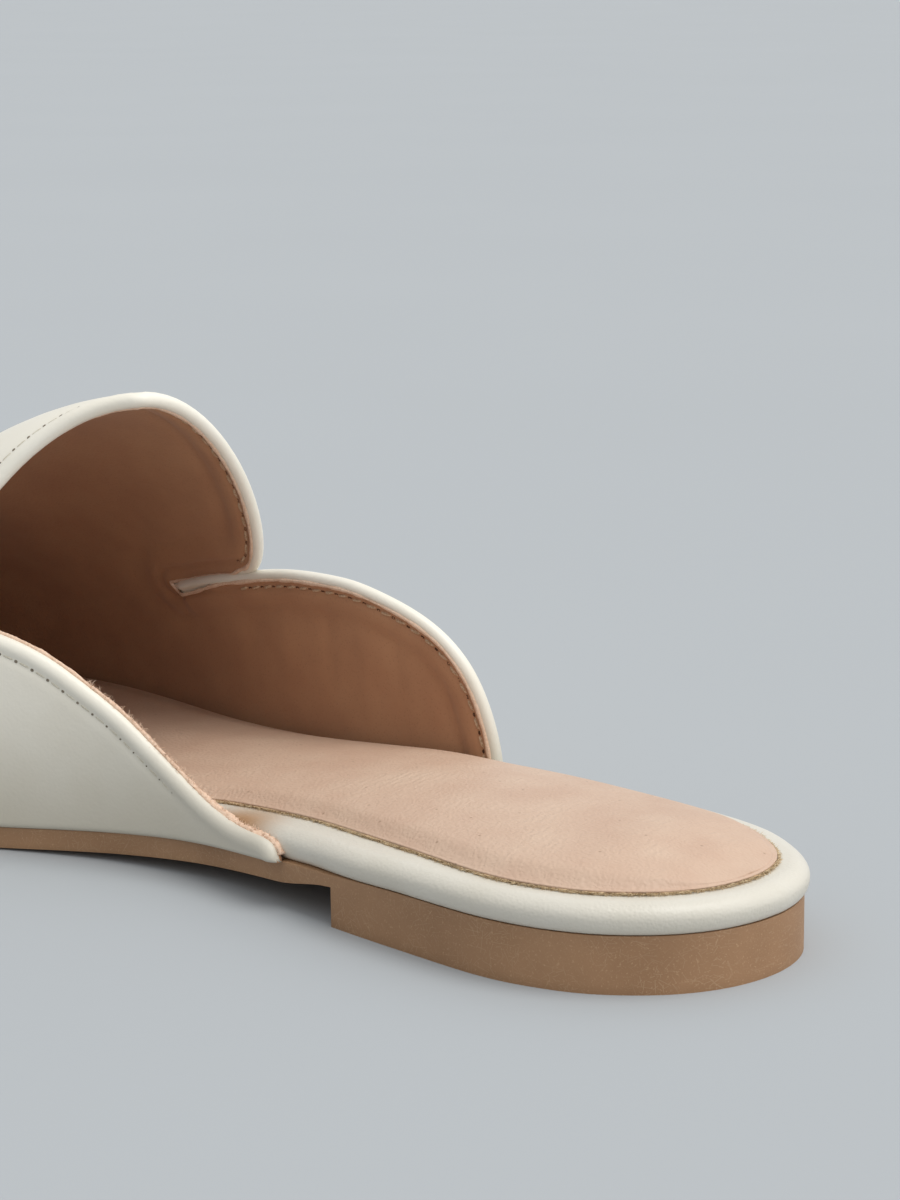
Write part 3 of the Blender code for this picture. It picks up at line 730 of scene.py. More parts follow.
def bed_layer(turn):
    """One loop of the bullnose, half an ellipse: out by cos, up by sin."""
    def offset(x, side):
        roll = RIM_ROLL * (1 - 0.7 * ease(x, 0.30 * LENGTH, 0.12 * LENGTH))
        drift = wander(x + side * 31 * MM) * np.clip(-np.sin(turn), 0, 1)
        return bed_out(x) - (1 - np.cos(turn)) * roll * (0.45 if turn < 0 else 1.0) + drift

    def height(x):
        return sole_top(x) + TOUCH + (BED + CLEAR - TOUCH) * (1 + np.sin(turn)) / 2

    return offset, height


bed_rows = stack_of_loops([bed_layer(turn) for turn in np.radians(np.linspace(-90, 90, 25))])
add_piece("footbed_wrap", *loops_and_caps(bed_rows, np.linspace(0, 1, 25)),
          rim_cream, "footbed")

# %% [markdown]
# ## The padded insole
#
# The insole is a leather cover over a sheet of foam and board, cut out in one stroke.  From outside
# one sees three things: the crowned cover, its thin edge, and the brown board under it with fibres
# torn loose by the knife.  The cover is a grid from edge to edge, raised by the padding's crown.

# %% Build the insole
EDGE_HIGH = 0.75 * MM          # the insole's edge, pressed flat by the knife
BOARD_SHARE = 0.55             # share of the edge's height that the board takes
BOARD_INSET = -0.10 * MM       # the board stands out a little past the cover


def insole_edge_layer(inset, share):
    """One loop at the insole's edge, inset inwards, at a share of the edge's height."""
    return (lambda x, side: sock_out(x, side) - inset,
            lambda x: bed_top(x) + TOUCH + EDGE_HIGH * share)


def cover_rise(x, share):
    """Height of the cover over its pressed edge: back to the full thickness, then the crown."""
    back = smooth(np.minimum(4 * share * (1 - share) / 0.30, (x - LIP_HEEL) / (8 * MM)))
    return (SOCK + CLEAR - TOUCH - EDGE_HIGH) * back + sock_crown(x, share)


def rough_edge(rows, rng):
    """How far the knife left each point of the board's edge: grain, threads, waves, less at the heel."""
    rough = rng.normal(0, 0.09 * MM, rows.shape[:2])
    rough = rough + rng.normal(0, 0.09 * MM, rows.shape[1])
    rough = rough + soften(rng.normal(0, 0.30 * MM, rows.shape[1]), 4, closed=True)
    return rough - 0.22 * MM * (1 - ease(rows[..., 0], 5 * MM, 14 * MM))


# inset from the edge and share of its height, for the small round of the cover's edge
COVER_ROUND = [(0.30 * MM, BOARD_SHARE - 0.1), (0.0, BOARD_SHARE), (-0.02 * MM, 0.80),
               (0.06 * MM, 0.91), (0.22 * MM, 0.975), (0.50 * MM, 1.0)]
cover_rows = stack_of_loops([insole_edge_layer(*layer) for layer in COVER_ROUND])
crowded = (1 - np.cos(np.pi * np.linspace(0, 1, 65))) / 2
cover_piece = add_piece("insole_cover", *loops_and_caps(cover_rows, crowded, cover_rise),
                        insole_tan, "insole")

board_rows = stack_of_loops([insole_edge_layer(BOARD_INSET, share)
                             for share in (0.0, 0.16, 0.32, 0.48, BOARD_SHARE)])
board_out = ring_frame(board_rows.mean(axis=0)[:, :2])[1]
board_rows[..., :2] += board_out * rough_edge(board_rows, np.random.default_rng(5))[..., None]
add_piece("insole_board", *loops_and_caps(board_rows, np.linspace(0, 1, 3)),
          board_brown, "insole")

# %% [markdown]
# ## The upper's skin
#
# Across the shoe each section is half of a superellipse: (y / wide)^n + (z / high)^n = 1.  With the
# power near two it is an ellipse, and above two it is fuller.  The two parameters are x along the
# shoe and a turn, which is 0 on the ridge, +1 at the inner foot line and -1 at the outer one.

# %% The skin as a function of two parameters
def upper_edge(x, side):
    """Distance of the upper's outside from the middle line, low down at x."""
    near_tip = smooth((TIP - x) / (0.07 * LENGTH))
    return edge(x * LENGTH / TIP, side) + side * upper_out(x) * near_tip


def upper_foot(x):
    """Height of the upper's lower edge, on the outsole."""
    return sole_top(np.minimum(x, LENGTH)) + TOUCH


def ridge_height(x):
    """Height of the ridge over the lower edge, closed at the toe by the root of 1 - way^2.6."""
    high = np.interp(x / LENGTH, ridge_at, ridge_tab) * TAB_HEIGHT
    high = high + np.interp(x / LENGTH, ridge_at, ridge_toe) * TOE_HEIGHT
    start = 0.90 * LENGTH
    way = np.clip((x - start) / (TIP - start), 0, 1)
    return np.maximum((high - upper_foot(x)) * np.sqrt(1 - way ** 2.6), 1e-9)


def ridge_side(x):
    """Place of the ridge from the middle line; it comes to the tip at the toe."""
    return RIDGE_Y + (0.030 * BALL_WIDTH - RIDGE_Y) * ease(x, 0.55 * LENGTH, 0.40 * LENGTH)


def fullness(x, side):
    """The section's power n."""
    back = np.where(side > 0, 2.25, 1.96)
    return back + (2.15 - back) * ease(x, 0.55 * LENGTH, 0.35 * LENGTH)


def skin(x, turn):
    """Points of the upper's outside: y = middle + wide sin^(2/n), z = foot + high cos^(2/n)."""
    side = np.where(turn >= 0, INNER, OUTER)
    power = 2 / fullness(x, side)
    angle = np.minimum(np.abs(turn), 1) * np.pi / 2
    middle = ridge_side(x)
    y = middle + (upper_edge(x, side) - middle) * np.sin(angle) ** power
    z = upper_foot(x) + ridge_height(x) * np.maximum(np.cos(angle), 0) ** power
    return np.stack(np.broadcast_arrays(x, y, z), axis=-1)


def unskin(spots):
    """The two parameters of the skin's point straight out from each spot near it."""
    x, y, z = spots.T
    middle = ridge_side(x)
    side = np.where(y >= middle, INNER, OUTER)
    full = fullness(x, side)
    sine = np.clip((y - middle) / (upper_edge(x, side) - middle), 0, 2) ** (full / 2)
    cosine = np.clip((z - upper_foot(x)) / ridge_height(x), 0, 2) ** (full / 2)
    return x, side * np.arctan2(sine, cosine) / (np.pi / 2)


def turn_at(x, height, side):
    """The turn, without its sign, at which the skin reaches a height over the foot line."""
    part = np.clip(height / ridge_height(x), 0, 1)
    return np.arccos(part ** (fullness(x, side) / 2)) / (np.pi / 2)


def point_normals(points, quads):
    """Normal at each point: the sum of its faces' normals, each as long as its face is large."""
    corner = points[quads]
    across = np.cross(corner[:, 2] - corner[:, 0], corner[:, 3] - corner[:, 1])
    total = np.zeros_like(points)
    for k in range(4):
        np.add.at(total, quads[:, k], across)
    return unit(total)


# %% [markdown]
# ## The opening's border
#
# The opening runs along the inner quarter, round the end of a slit, along the tab and back along the
# outer quarter.  Everything at the border (the roll of the leather, the cut lining, the stitches)
# keeps a fixed distance from this line, so the line is worked out first, evenly spaced.

# %% The border line
QUARTER_STEP = 0.8 * MM


def running(line):
    """How far along a line each of its points lies."""
    return np.concatenate([[0], np.cumsum(np.linalg.norm(np.diff(line, axis=0), axis=1))])


def quarter_line(table, side):
    """Places and turns along a quarter's top edge, from its rear end to the slit, evenly spaced."""
    x = np.linspace(table[0][0], table[-1][0], 6000) * LENGTH
    height = follow(table, 1, x / LENGTH) * TAB_HEIGHT
    run = running(np.stack([x, height], axis=1))
    even = np.arange(0, run[-1] - 8 * MM, QUARTER_STEP)
    even = np.concatenate([even, np.linspace(run[-1] - 8 * MM, run[-1], 24)])
    x = soften(np.interp(even, run, x), 3)
    return x, side * turn_at(x, soften(np.interp(even, run, height), 3), side)


def tab_turn(x, side):
    """Turn of the tab's lower edge at x, without its sign."""
    quarter = INNER_QUARTER if side > 0 else OUTER_QUARTER
    corner = TAB_CORNERS[side][0] * LENGTH
    slit = quarter[-1][0] * LENGTH
    back = (slit - np.maximum(x, corner)) / (slit - corner)
    if side > 0:
        height = follow(INNER_TAB, 1, back)
    else:
        height = follow(quarter, 1, np.maximum(x, corner) / LENGTH) + TAB_PRESS * smooth(4 * back)
    return turn_at(x, height * TAB_HEIGHT, side)


def tab_rear(across):
    """Rear edge of the tab, with rounded corners and its inner part leaning forwards."""
    share = np.abs(across)
    (_, ahead_in, round_in), (_, ahead_out, round_out) = TAB_CORNERS[INNER], TAB_CORNERS[OUTER]
    ahead, rounding, power = [np.where(across > 0, *pair) for pair in (
        (ahead_in, ahead_out), (round_in, round_out), (7.0, 5.0))]
    corner = rounding * LENGTH * (1 - np.sqrt(np.maximum(1 - share ** power, 0)))
    return TAB_REAR_X + ahead * LENGTH * (1 - (1 - share) ** 1.6) + corner


inner_x, inner_t = quarter_line(INNER_QUARTER, INNER)
outer_x, outer_t = quarter_line(OUTER_QUARTER, OUTER)
INNER_SLIT, INNER_TURN = inner_x[-1], inner_t[-1]
OUTER_SLIT, OUTER_TURN = outer_x[-1], -outer_t[-1]
print("slits end at mm:", round(INNER_SLIT / MM, 1), round(OUTER_SLIT / MM, 1))

# %% [markdown]
# ## A grid that fits the opening
#
# The skin is cut into four blocks: the front, the tab and two quarters.  Rows and columns crowd
# together near the border, at fixed distances from it, so that a roll only 1.2 mm in radius still
# gets enough points, and they spread out over the plain vamp.

# %% Blocks of the skin
NEAR_EDGE = np.array([0, 0.10, 0.28, 0.52, 0.85, 1.2, 1.6, 2.05, 2.55, 3.0, 3.45, 3.95, 4.7, 5.8,
                      7.0, 8.2, 9.6]) * MM
NEAR_FOOT = np.array([1.3, 0.85, 0.5, 0.22, 0.06, 0]) * MM
NEAR_SLIT = np.array([0, 0.25, 0.6, 1.1, 1.8, 2.7, 4.0]) * MM


def spread(total, near, far, between):
    """Distances along lines of given total length: near and far groups fixed, the rest even."""
    total = np.asarray(total, dtype=float)[:, None]
    scale = np.minimum(total / ((near[-1] + far[0]) * 1.25), 1)
    first, last = near * scale, total - far * scale
    share = np.arange(1, between + 1) / (between + 1)
    middle = first[:, -1:] + (last[:, :1] - first[:, -1:]) * share
    return np.concatenate([first, middle, last], axis=1)


def section(x, start, end):
    """Fine turns along the section at x, and how far along the skin each lies."""
    fine = start + (end - start) * np.linspace(0, 1, 400)
    return fine, running(skin(np.full(400, x), fine))


def section_turns(x, start, end, shares):
    """Turns at shares of the section's length at x, measured from the start turn."""
    fine, run = section(x, start, end)
    turns = np.interp(shares * run[-1], run, fine)
    turns[0] = start
    return turns


def quarter_block(xs, turns, side):
    """Rows from the top edge down to the foot line, one for each point of the border."""
    lengths = np.array([section(x, turn, side)[1][-1] for x, turn in zip(xs, turns)])
    places = spread(np.maximum(lengths, 1e-7), NEAR_EDGE, NEAR_FOOT, 7)
    shares = places / places[:, -1:]
    grid = np.stack([section_turns(x, turn, side, s) for x, turn, s in zip(xs, turns, shares)])
    grid[:, -1] = side
    return skin(np.repeat(xs[:, None], grid.shape[1], axis=1), grid), grid


def half_tab(slit, turn):
    """Turns of the tab's columns from a slit's end towards the ridge."""
    length = section(slit, turn, 0)[1][-1]
    places = spread([length], NEAR_EDGE, np.array([0.0]), 16)[0]
    return section_turns(slit, turn, 0, places / length)[:-1]


def slit_row(turn):
    """Place of the row that joins the ends of the slits."""
    reach = (turn + OUTER_TURN) / (INNER_TURN + OUTER_TURN)
    return OUTER_SLIT + (INNER_SLIT - OUTER_SLIT) * smooth(reach)


inner_block, inner_grid = quarter_block(inner_x, inner_t, INNER)
outer_block, outer_grid = quarter_block(outer_x, outer_t, OUTER)
slit_tips = [inner_block[-1, 0], outer_block[-1, 0]]

outer_half, inner_half = half_tab(OUTER_SLIT, -OUTER_TURN), half_tab(INNER_SLIT, INNER_TURN)
tab_turns = np.concatenate([outer_half, [0.0], inner_half[::-1]])
row_turns = np.concatenate([outer_grid[-1][::-1][:-1], tab_turns, inner_grid[-1][1:]])

# the front: rows from the slits' ends to the toe, closing on one point at the tip
toe_rows = 24 * MM * (np.arange(19, -1, -1) / 19) ** 2
front_start = slit_row(row_turns)
front_x = (front_start[:, None] + spread(TIP - front_start, NEAR_SLIT, toe_rows, 34)).T
front_x[-1] = TIP
front = skin(front_x, np.repeat(row_turns[None, :], len(front_x), axis=0))

# the tab: rows from the slits' ends back to its rear edge
across_tab = np.where(tab_turns >= 0, tab_turns / INNER_TURN, tab_turns / OUTER_TURN)
tab_start = slit_row(tab_turns)
tab_x = (tab_start[:, None] - spread(tab_start - tab_rear(across_tab), NEAR_SLIT,
                                     NEAR_EDGE[::-1], 10)).T
tab_t = across_tab * np.where(across_tab >= 0, tab_turn(tab_x, INNER), tab_turn(tab_x, OUTER))
tab_t[0] = tab_turns
tab = skin(tab_x, tab_t)

skin_points, skin_quads, skin_kept = join_blocks([(front, True), (tab, False),
                                                  (inner_block, True), (outer_block, False)])
skin_normals = point_normals(skin_points, skin_quads)
print("skin points:", len(skin_points), "faces:", len(skin_quads))

# %% [markdown]
# ## Distance from the border
#
# The border as one polyline: up the inner quarter, back along the tab's edge, across its rear, and
# down the outer quarter.  For each point of the skin the nearest place on it is found, and the
# distance decides how the leather rolls over.  Tab and quarters look only at their own stretch, or
# the tab would roll over where it lies on the quarter.

# %% The border as a polyline and the distance to it
tab_keys = np.stack([tab_x, tab_t], axis=-1)
border_keys = np.concatenate([
    np.stack([inner_x, inner_t], axis=1),
    tab_keys[1:, -1],
    tab_keys[-1, ::-1][1:-1],
    tab_keys[::-1, 0],
    np.stack([outer_x, outer_t], axis=1)[::-1][1:],
])
border = skin(*border_keys.T)
border_run = running(border)
slit_ends = [int(np.argmin(np.linalg.norm(border - tip, axis=1))) for tip in slit_tips]
outer_slit_run = border_run[slit_ends[1]]


def nearest_on(line, runs, spots):
    """Distance of each spot from a polyline, and how far along it the nearest place lies."""
    found = []
    for part in np.array_split(spots, len(spots) // 4000 + 1):
        gaps = ((part[:, None, :] - line[None, :, :]) ** 2).sum(axis=2)
        nearest = gaps.argmin(axis=1)
        best, where = np.sqrt(gaps.min(axis=1)), runs[nearest]
        for step in (-1, 0):
            low = np.clip(nearest + step, 0, len(line) - 2)
            along = line[low + 1] - line[low]
            share = ((part - line[low]) * along).sum(axis=1)
            share = np.clip(share / np.maximum((along ** 2).sum(axis=1), 1e-18), 0, 1)
            gap = np.linalg.norm(part - line[low] - along * share[:, None], axis=1)
            where = np.where(gap < best, runs[low] + (runs[low + 1] - runs[low]) * share, where)
            best = np.minimum(best, gap)
        found.append(np.stack([best, where], axis=1))
    return np.concatenate(found)


def measured(block, stretch):
    """Distance and run for each point of a block, on one stretch of the border."""
    return nearest_on(border[stretch], border_run[stretch], block.reshape(-1, 3)).reshape(
        *block.shape[:2], 2)


inner_part = slice(0, slit_ends[0] + 1)
tab_part = slice(slit_ends[0], slit_ends[1] + 1)
outer_part = slice(slit_ends[1], len(border))
low = outer_grid.shape[1] - 1
high = low + len(tab_turns)
ahead = [measured(front[:, :low], outer_part), measured(front[:, low:high], tab_part),
         measured(front[:, high:], inner_part)]
by_block = [np.concatenate(ahead, axis=1), measured(tab, tab_part),
            measured(inner_block, inner_part), measured(outer_block, outer_part)]
edge_distance, edge_run = np.concatenate([part.reshape(-1, 2) for part in by_block])[skin_kept].T
foot_height = skin_points[:, 2] - upper_foot(skin_points[:, 0])
print("border length in mm:", round(border_run[-1] / MM),
      "points on it:", int((edge_distance < 1e-7).sum()))

# %% [markdown]
# ## Leather that rolls over the edge
#
# The leather is folded over the border and glued down inside, so the edge is a half round as thick
# as the wall.  Its section is a circle: depth = r - sqrt(r^2 - (r - d)^2) at distance d.  The seam,
# 3 mm from the edge, presses a groove, and the leather between swells a little.

# %% How deep each surface lies
ROLL = WALL / 2
SEAM = 3.0 * MM                # distance of the stitches from the border
UNDER_ROUND = 0.9 * MM         # the leather turns under where it meets the outsole
LINING_START = 1.55 * MM       # distance of the lining's cut edge from the border
TURN_IN = 1.25 * MM            # how much nearer the border that edge comes at the inner quarter


def bell(value, centre, width):
    """exp(-((value - centre) / width)^2)."""
    return np.exp(-((value - centre) / width) ** 2)


def round_over(distance, radius):
    """Depth of a quarter circle at a distance from its end."""
    left = np.clip(radius - distance, 0, radius)
    return radius - np.sqrt(np.maximum(radius ** 2 - left ** 2, 0))


def outside_depth(distance, height):
    """Depth of the leather's face under the skin: the roll, the swell, the seam and the foot."""
    swell = 0.24 * MM * bell(distance, 1.7 * MM, 0.85 * MM)
    seam = 0.26 * MM * ease(height, 2 * MM, 9 * MM) * bell(distance, SEAM, 0.65 * MM)
    return round_over(distance, ROLL) - swell + seam + round_over(height, UNDER_ROUND)


def turned_depth(distance):
    """Depth of the turned-in leather: the roll's other half, then flat under the lining."""
    thinner = 0.5 * MM * ease(distance, 1.25 * MM, 0.5 * MM)
    return WALL - round_over(distance, ROLL) - thinner - 1.1 * MM * ease(distance, 3.4 * MM, 1.2 * MM)


def slit_bend(distance, run):
    """Extra depth beside the outer slit: the quarter's edge bends in, the tab's bends out a little."""
    after = run - outer_slit_run
    quarter = smooth(after / (3.5 * MM)) * (1 - ease(after, 12 * MM, 18 * MM))
    tab_side = smooth(-after / (5 * MM)) * (1 - ease(-after, 14 * MM, 12 * MM))
    return (1.2 * quarter - 0.4 * tab_side) * MM * (1 - smooth(distance / (11 * MM)))


def on_top(run):
    """One along the inner quarter, zero past it: there the lining's edge shows from outside."""
    return 1 - ease(run, 68 * MM, 24 * MM)


def lining_start(run):
    """Distance of the lining's edge from the border: at the top of the inner quarter, else inside."""
    after = run - outer_slit_run
    blunt = np.sqrt(1 - (1 - np.clip(after / (2.8 * MM), 0, 1)) ** 2)
    wider = 1.0 * MM * blunt * (1 - ease(after, 6 * MM, 12 * MM))
    under_tab = ease(after, -24 * MM, 5 * MM) * (1 - blunt)
    return LINING_START - TURN_IN * on_top(run) + wider - TURN_IN * under_tab


def lining_depth(distance, start):
    """Depth of the lining's face: hidden near the border, then a band over the fold, then the wall."""
    face = WALL - 0.30 * MM * ease(distance, 6.5 * MM, 3.0 * MM)
    face = face - 0.50 * MM * bell(distance, SEAM, 0.55 * MM)
    face = face - 0.62 * MM * bell(distance, 8.0 * MM, 1.6 * MM)
    return ROLL + (face - ROLL) * ease(distance, start - 0.25 * MM, 0.25 * MM)


# %% Build the leather
def shell(outer_depth, inner_depth):
    """A closed shell between two depths; both meet along the border, and a rim closes the foot."""
    depths = np.stack([outer_depth, inner_depth]) + slit_bend(edge_distance, edge_run)
    points = (skin_points - skin_normals * depths[..., None]).reshape(-1, 3)
    count = np.arange(len(skin_points))
    on_border = edge_distance < 1e-7
    twin = np.where(on_border, count, count + len(count))
    sides = np.concatenate([skin_quads[:, [k, (k + 1) % 4]] for k in range(4)])
    sides = sides[sides[:, 0] != sides[:, 1]]
    _, first, times = np.unique(np.sort(sides, axis=1), axis=0, return_index=True,
                                return_counts=True)
    free = sides[first[times == 1]]
    foot = free[~(on_border[free].all(axis=1))]
    rim = np.concatenate([foot[:, ::-1], twin[foot]], axis=1)
    quads = np.concatenate([skin_quads, twin[skin_quads[:, ::-1]], rim])
    used, number = np.unique(quads, return_inverse=True)
    return points[used], number.reshape(quads.shape)


add_piece("upper_leather", *shell(outside_depth(edge_distance, foot_height),
                                  turned_depth(edge_distance)),
          upper_cream, "upper")

# %% [markdown]
# ## The lining and its soft folds
#
# The lining is glued in dry, so it keeps a few soft upright folds where the quarter bends.  Each is a
# trough given one by one: its place along the length, its height, its length, width, depth and lean.

# %% Build the lining
# side, place along the length, height over the floor mm, half length mm, half width mm, depth mm, lean
FOLDS = [
    (OUTER, 0.330, 27.0, 13.0, 2.2, 0.45, 0.10),
    (OUTER, 0.372, 29.0, 12.0, 1.8, 0.35, -0.06),
    (OUTER, 0.398, 27.0, 14.0, 2.4, -0.30, 0.04),
    (OUTER, 0.430, 30.0, 13.0, 2.0, 0.32, 0.08),
    (OUTER, 0.474, 27.0, 12.0, 3.0, -0.25, 0.12),
    (OUTER, 0.505, 31.0, 14.0, 2.6, 0.25, 0.15),
    (INNER, 0.420, 22.0, 9.0, 2.2, 0.30, -0.10),
    (INNER, 0.500, 27.0, 12.0, 2.6, 0.28, 0.05),
    (OUTER, 0.600, 45.0, 12.0, 4.0, 0.30, 0.60),
    (INNER, 0.600, 48.0, 12.0, 4.0, 0.30, 0.60),
]


def fold_depth(spots):
    """Sum of the troughs: a bell across each fold and a bell along it, on its own side."""
    total = np.zeros(len(spots))
    for side, place, height, length, width, depth, lean in FOLDS:
        x, z = spots[:, 0] - place * LENGTH, spots[:, 2] - height * MM
        across = x * np.cos(lean) + z * np.sin(lean)
        along = z * np.cos(lean) - x * np.sin(lean)
        here = smooth((side * spots[:, 1] + 2 * MM) / (8 * MM))
        total += depth * MM * here * bell(across, 0, width * MM) * bell(along, 0, length * MM)
    return total


lining_face = lining_depth(edge_distance, lining_start(edge_run))
lining_face = lining_face - fold_depth(skin_points) * ease(edge_distance, 4.5 * MM, 5 * MM)
add_piece("upper_lining", *shell(np.full(len(lining_face), ROLL), lining_face),
          lining_tan, "upper")

# %% [markdown]
# ## Lines that follow the border
#
# The cut edge of the lining and the seams run at a fixed distance from the border.  At each border
# point the surface's normal and the border's direction give the way inwards; a step that way, brought
# back to the skin, is a point of the parallel line.  At a slit's end the way inwards swings round, so
# extra steps are put in there.

# %% Parallel lines on the skin
def sample(at, run, columns):
    """The columns of a table, read off at places along its run."""
    return np.stack([np.interp(at, run, column) for column in columns.T], axis=1)


def skin_normal(x, turn):
    """Outward normal of the skin from small steps in both parameters."""
    step = 1e-4
    ahead = skin(x + step * LENGTH, turn) - skin(x - step * LENGTH, turn)
    across = skin(x, np.clip(turn + 5 * step, -1, 1)) - skin(x, np.clip(turn - 5 * step, -1, 1))
    return unit(np.cross(ahead, across))


def fan_round(start, normal, turn):
    """Fifteen ways between a start and the same way turned about the normal."""
    angle = np.linspace(0, turn, 17)[1:-1, None]
    return start * np.cos(angle) + np.cross(normal, start) * np.sin(angle)


def border_frame():
    """Even points of the border, the way inwards at each, and how far along they lie."""
    keep = np.concatenate([[True], np.linalg.norm(np.diff(border, axis=0), axis=1) > 1e-7])
    keys, line = border_keys[keep], border[keep]
    run = running(line)
    ends = [int(np.argmin(np.linalg.norm(line - tip, axis=1))) for tip in slit_tips]
    stops = [0, *ends, len(line) - 1]
    parts = []
    for first, last in zip(stops[:-1], stops[1:]):
        at = np.arange(run[first], run[last], 0.4 * MM)
        x, turn = sample(at, run, keys).T
        points = skin(x, turn)
        along = unit(np.gradient(points, axis=0))
        along = unit(np.stack([soften(column, 2) for column in along.T], axis=1))
        normal = skin_normal(x, turn)
        parts.append((points, np.cross(normal, along), at, normal))
    found = [parts[0][:3]]
    for end, before, after in zip(ends, parts, parts[1:]):
        start, normal, goal = before[1][-1], before[3][-1], after[1][0]
        turn = np.arctan2(np.dot(goal, np.cross(normal, start)), np.dot(goal, start))
        fan = fan_round(start, normal, turn)
        if fan[7][0] < 0:
            fan = fan_round(start, normal, turn - np.sign(turn) * 2 * np.pi)
        found.append((np.repeat(line[end][None, :], len(fan), axis=0), fan,
                      np.full(len(fan), run[end])))
        found.append(after[:3])
    return [np.concatenate(column) for column in zip(*found)]


def parallel(distance, depth):
    """The line at a distance from the border and a depth under the skin, with normals and turns."""
    distance = np.broadcast_to(distance, len(border_points))
    x, turn = unskin(border_points + border_ways * distance[:, None])
    normal = skin_normal(x, turn)
    depth = depth + slit_bend(distance, frame_run)
    return skin(x, turn) - normal * depth[:, None], normal, turn


border_points, border_ways, frame_run = border_frame()
frame_top = on_top(frame_run)
at_tail = 1 - ease(frame_run, 6 * MM, 30 * MM)
edge_line, edge_normal, edge_turn = parallel(
    lining_start(frame_run) - 0.05 * MM - 0.30 * MM * frame_top + 0.45 * MM * at_tail,
    WALL - 0.05 * MM - 0.62 * MM * frame_top + 0.80 * MM * at_tail,
)
print("line of the cut edge, mm:", round(running(edge_line)[-1] / MM))

# %% [markdown]
# ## The lining's cut edge
#
# Seen closely, the lining ends in a thin pale line: the cut face of the cloth that backs it.  It is a
# small bar carried along the parallel line, a little uneven, as scissors leave it.  At the inner
# quarter's tail it becomes a thick torn stack.

# %% Build the cut edge
def join_tubes(rings):
    """Tubes from an array of (tubes, rows, columns, 3), their two ends closed by fans."""
    tubes, rows, columns = rings.shape[:3]
    ends = rings[:, [0, -1]].mean(axis=2)
    points = np.concatenate([rings.reshape(tubes, -1, 3), ends], axis=1)
    a = np.arange(columns)
    b = (a + 1) % columns
    centre = np.full(columns, rows * columns)
    far = (rows - 1) * columns
    quads = np.concatenate([grid_faces(rows, columns, closed=True),
                            np.stack([b, a, centre, centre], axis=1),
                            np.stack([a + far, b + far, centre + 1, centre + 1], axis=1)])
    starts = np.arange(tubes)[:, None, None] * points.shape[1]
    return points.reshape(-1, 3), (quads + starts).reshape(-1, 4)


angle = np.linspace(0, 2 * np.pi, 11)[:-1]
rng = np.random.default_rng(8)
uneven = 1 + (0.08 + 0.14 * at_tail[:, None]) * rng.normal(0, 1, (len(edge_line), len(angle)))
uneven = uneven * (1 + soften(rng.normal(0, 0.35, len(edge_line)), 2)[:, None])
wide = (0.38 + 0.20 * at_tail)[:, None] * MM * np.cos(angle) * uneven
high = (0.32 + 0.10 * frame_top + 0.45 * at_tail)[:, None] * MM * np.sin(angle) * uneven
across = unit(np.cross(edge_normal, unit(np.gradient(edge_line, axis=0))))
bar = (edge_line[:, None, :] + across[:, None, :] * wide[..., None]
       + edge_normal[:, None, :] * high[..., None])[np.abs(edge_turn) < 0.995]
add_piece("lining_cut_edge", *join_tubes(bar[None]), edge_peach, "upper")

# %% [markdown]
# ## Stitches
#
# A lockstitch shows a short bridge of thread, a needle hole, and the next bridge.  Outside, the thread
# sinks into the leather and the holes show best; inside, the bridges stand on the soft lining.  One
# bridge is a thin tube whose ends dive into the surface, and all of them are made at once: a template
# of points times an array of places.

# %% Build the stitches
PITCH = 3.3 * MM


def seam_places(distance, depth, low_limit, tip_limit, first):
    """Even places along a seam, above a height and away from the slits' tips, with their frames."""
    line, normal, _ = parallel(distance, depth)
    run = running(line)
    at = np.arange(first * PITCH, run[-1] - PITCH, PITCH)
    spots = sample(at, run, line)
    along = unit(sample(at + 0.4 * MM, run, line) - sample(at - 0.4 * MM, run, line))
    out = sample(at, run, normal)
    out = unit(out - along * (out * along).sum(axis=1)[:, None])
    kept = (spots[:, 2] - upper_foot(spots[:, 0])) > low_limit
    for tip in slit_tips:
        kept &= np.linalg.norm(spots - tip, axis=1) > tip_limit
    return spots[kept], along[kept], out[kept]


def place_rings(spots, along, out, forward, side, high):
    """Rings of a template, given as offsets forwards, sideways and outwards, put at every spot."""
    axes = (along, np.cross(out, along), out)
    rings = spots[:, None, None, :]
    for axis, offset in zip(axes, (forward, side, high)):
        rings = rings + axis[:, None, None, :] * offset[..., None]
    return join_tubes(rings)


def bridges(spots, along, out, length, radius, lift, slant):
    """Bridges of thread: a tube along each place, arched by lift (1 - u^2), slanted in the surface."""
    u = np.linspace(-1, 1, 7)[:, None]
    angle = np.linspace(0, 2 * np.pi, 7)[:-1]
    width = radius * np.sqrt(np.maximum(1 - 0.75 * u ** 4, 0))
    rise = lift * (1 - u ** 2) - 0.75 * radius * u ** 4
    return place_rings(spots, along, out, u * length / 2 + 0 * angle,
                       slant * u + width * np.cos(angle), rise + width * np.sin(angle))


def needle_holes(spots, along, out, radius):
    """Small dimples in a dark colour, painted shade of each needle hole: a ring at the surface and a
    deeper middle for each place.
    """
    angle = np.linspace(0, 2 * np.pi, 9)[:-1]
    scale, high = np.array([(1.15, -0.20), (1.0, 0.13), (0.55, 0.06)]).T[..., None]
    sizes = radius * scale
    return place_rings(spots, along, out, sizes * 1.2 * np.cos(angle), sizes * np.sin(angle),
                       high * MM + 0 * angle)


groove = float(outside_depth(SEAM, 1.0))
outside_seam = (SEAM, groove, 8.0 * MM, 4 * MM)
add_piece("stitches_outside",
          *bridges(*seam_places(*outside_seam, 1.0), 2.3 * MM, 0.20 * MM,
                   -0.06 * MM, 0.0), thread_cream, "upper")
spots, along, out = seam_places(*outside_seam, 1.5)
hole_size = 0.4 + 0.6 * ease(spots[:, 2] - upper_foot(spots[:, 0]), 10 * MM, 20 * MM)
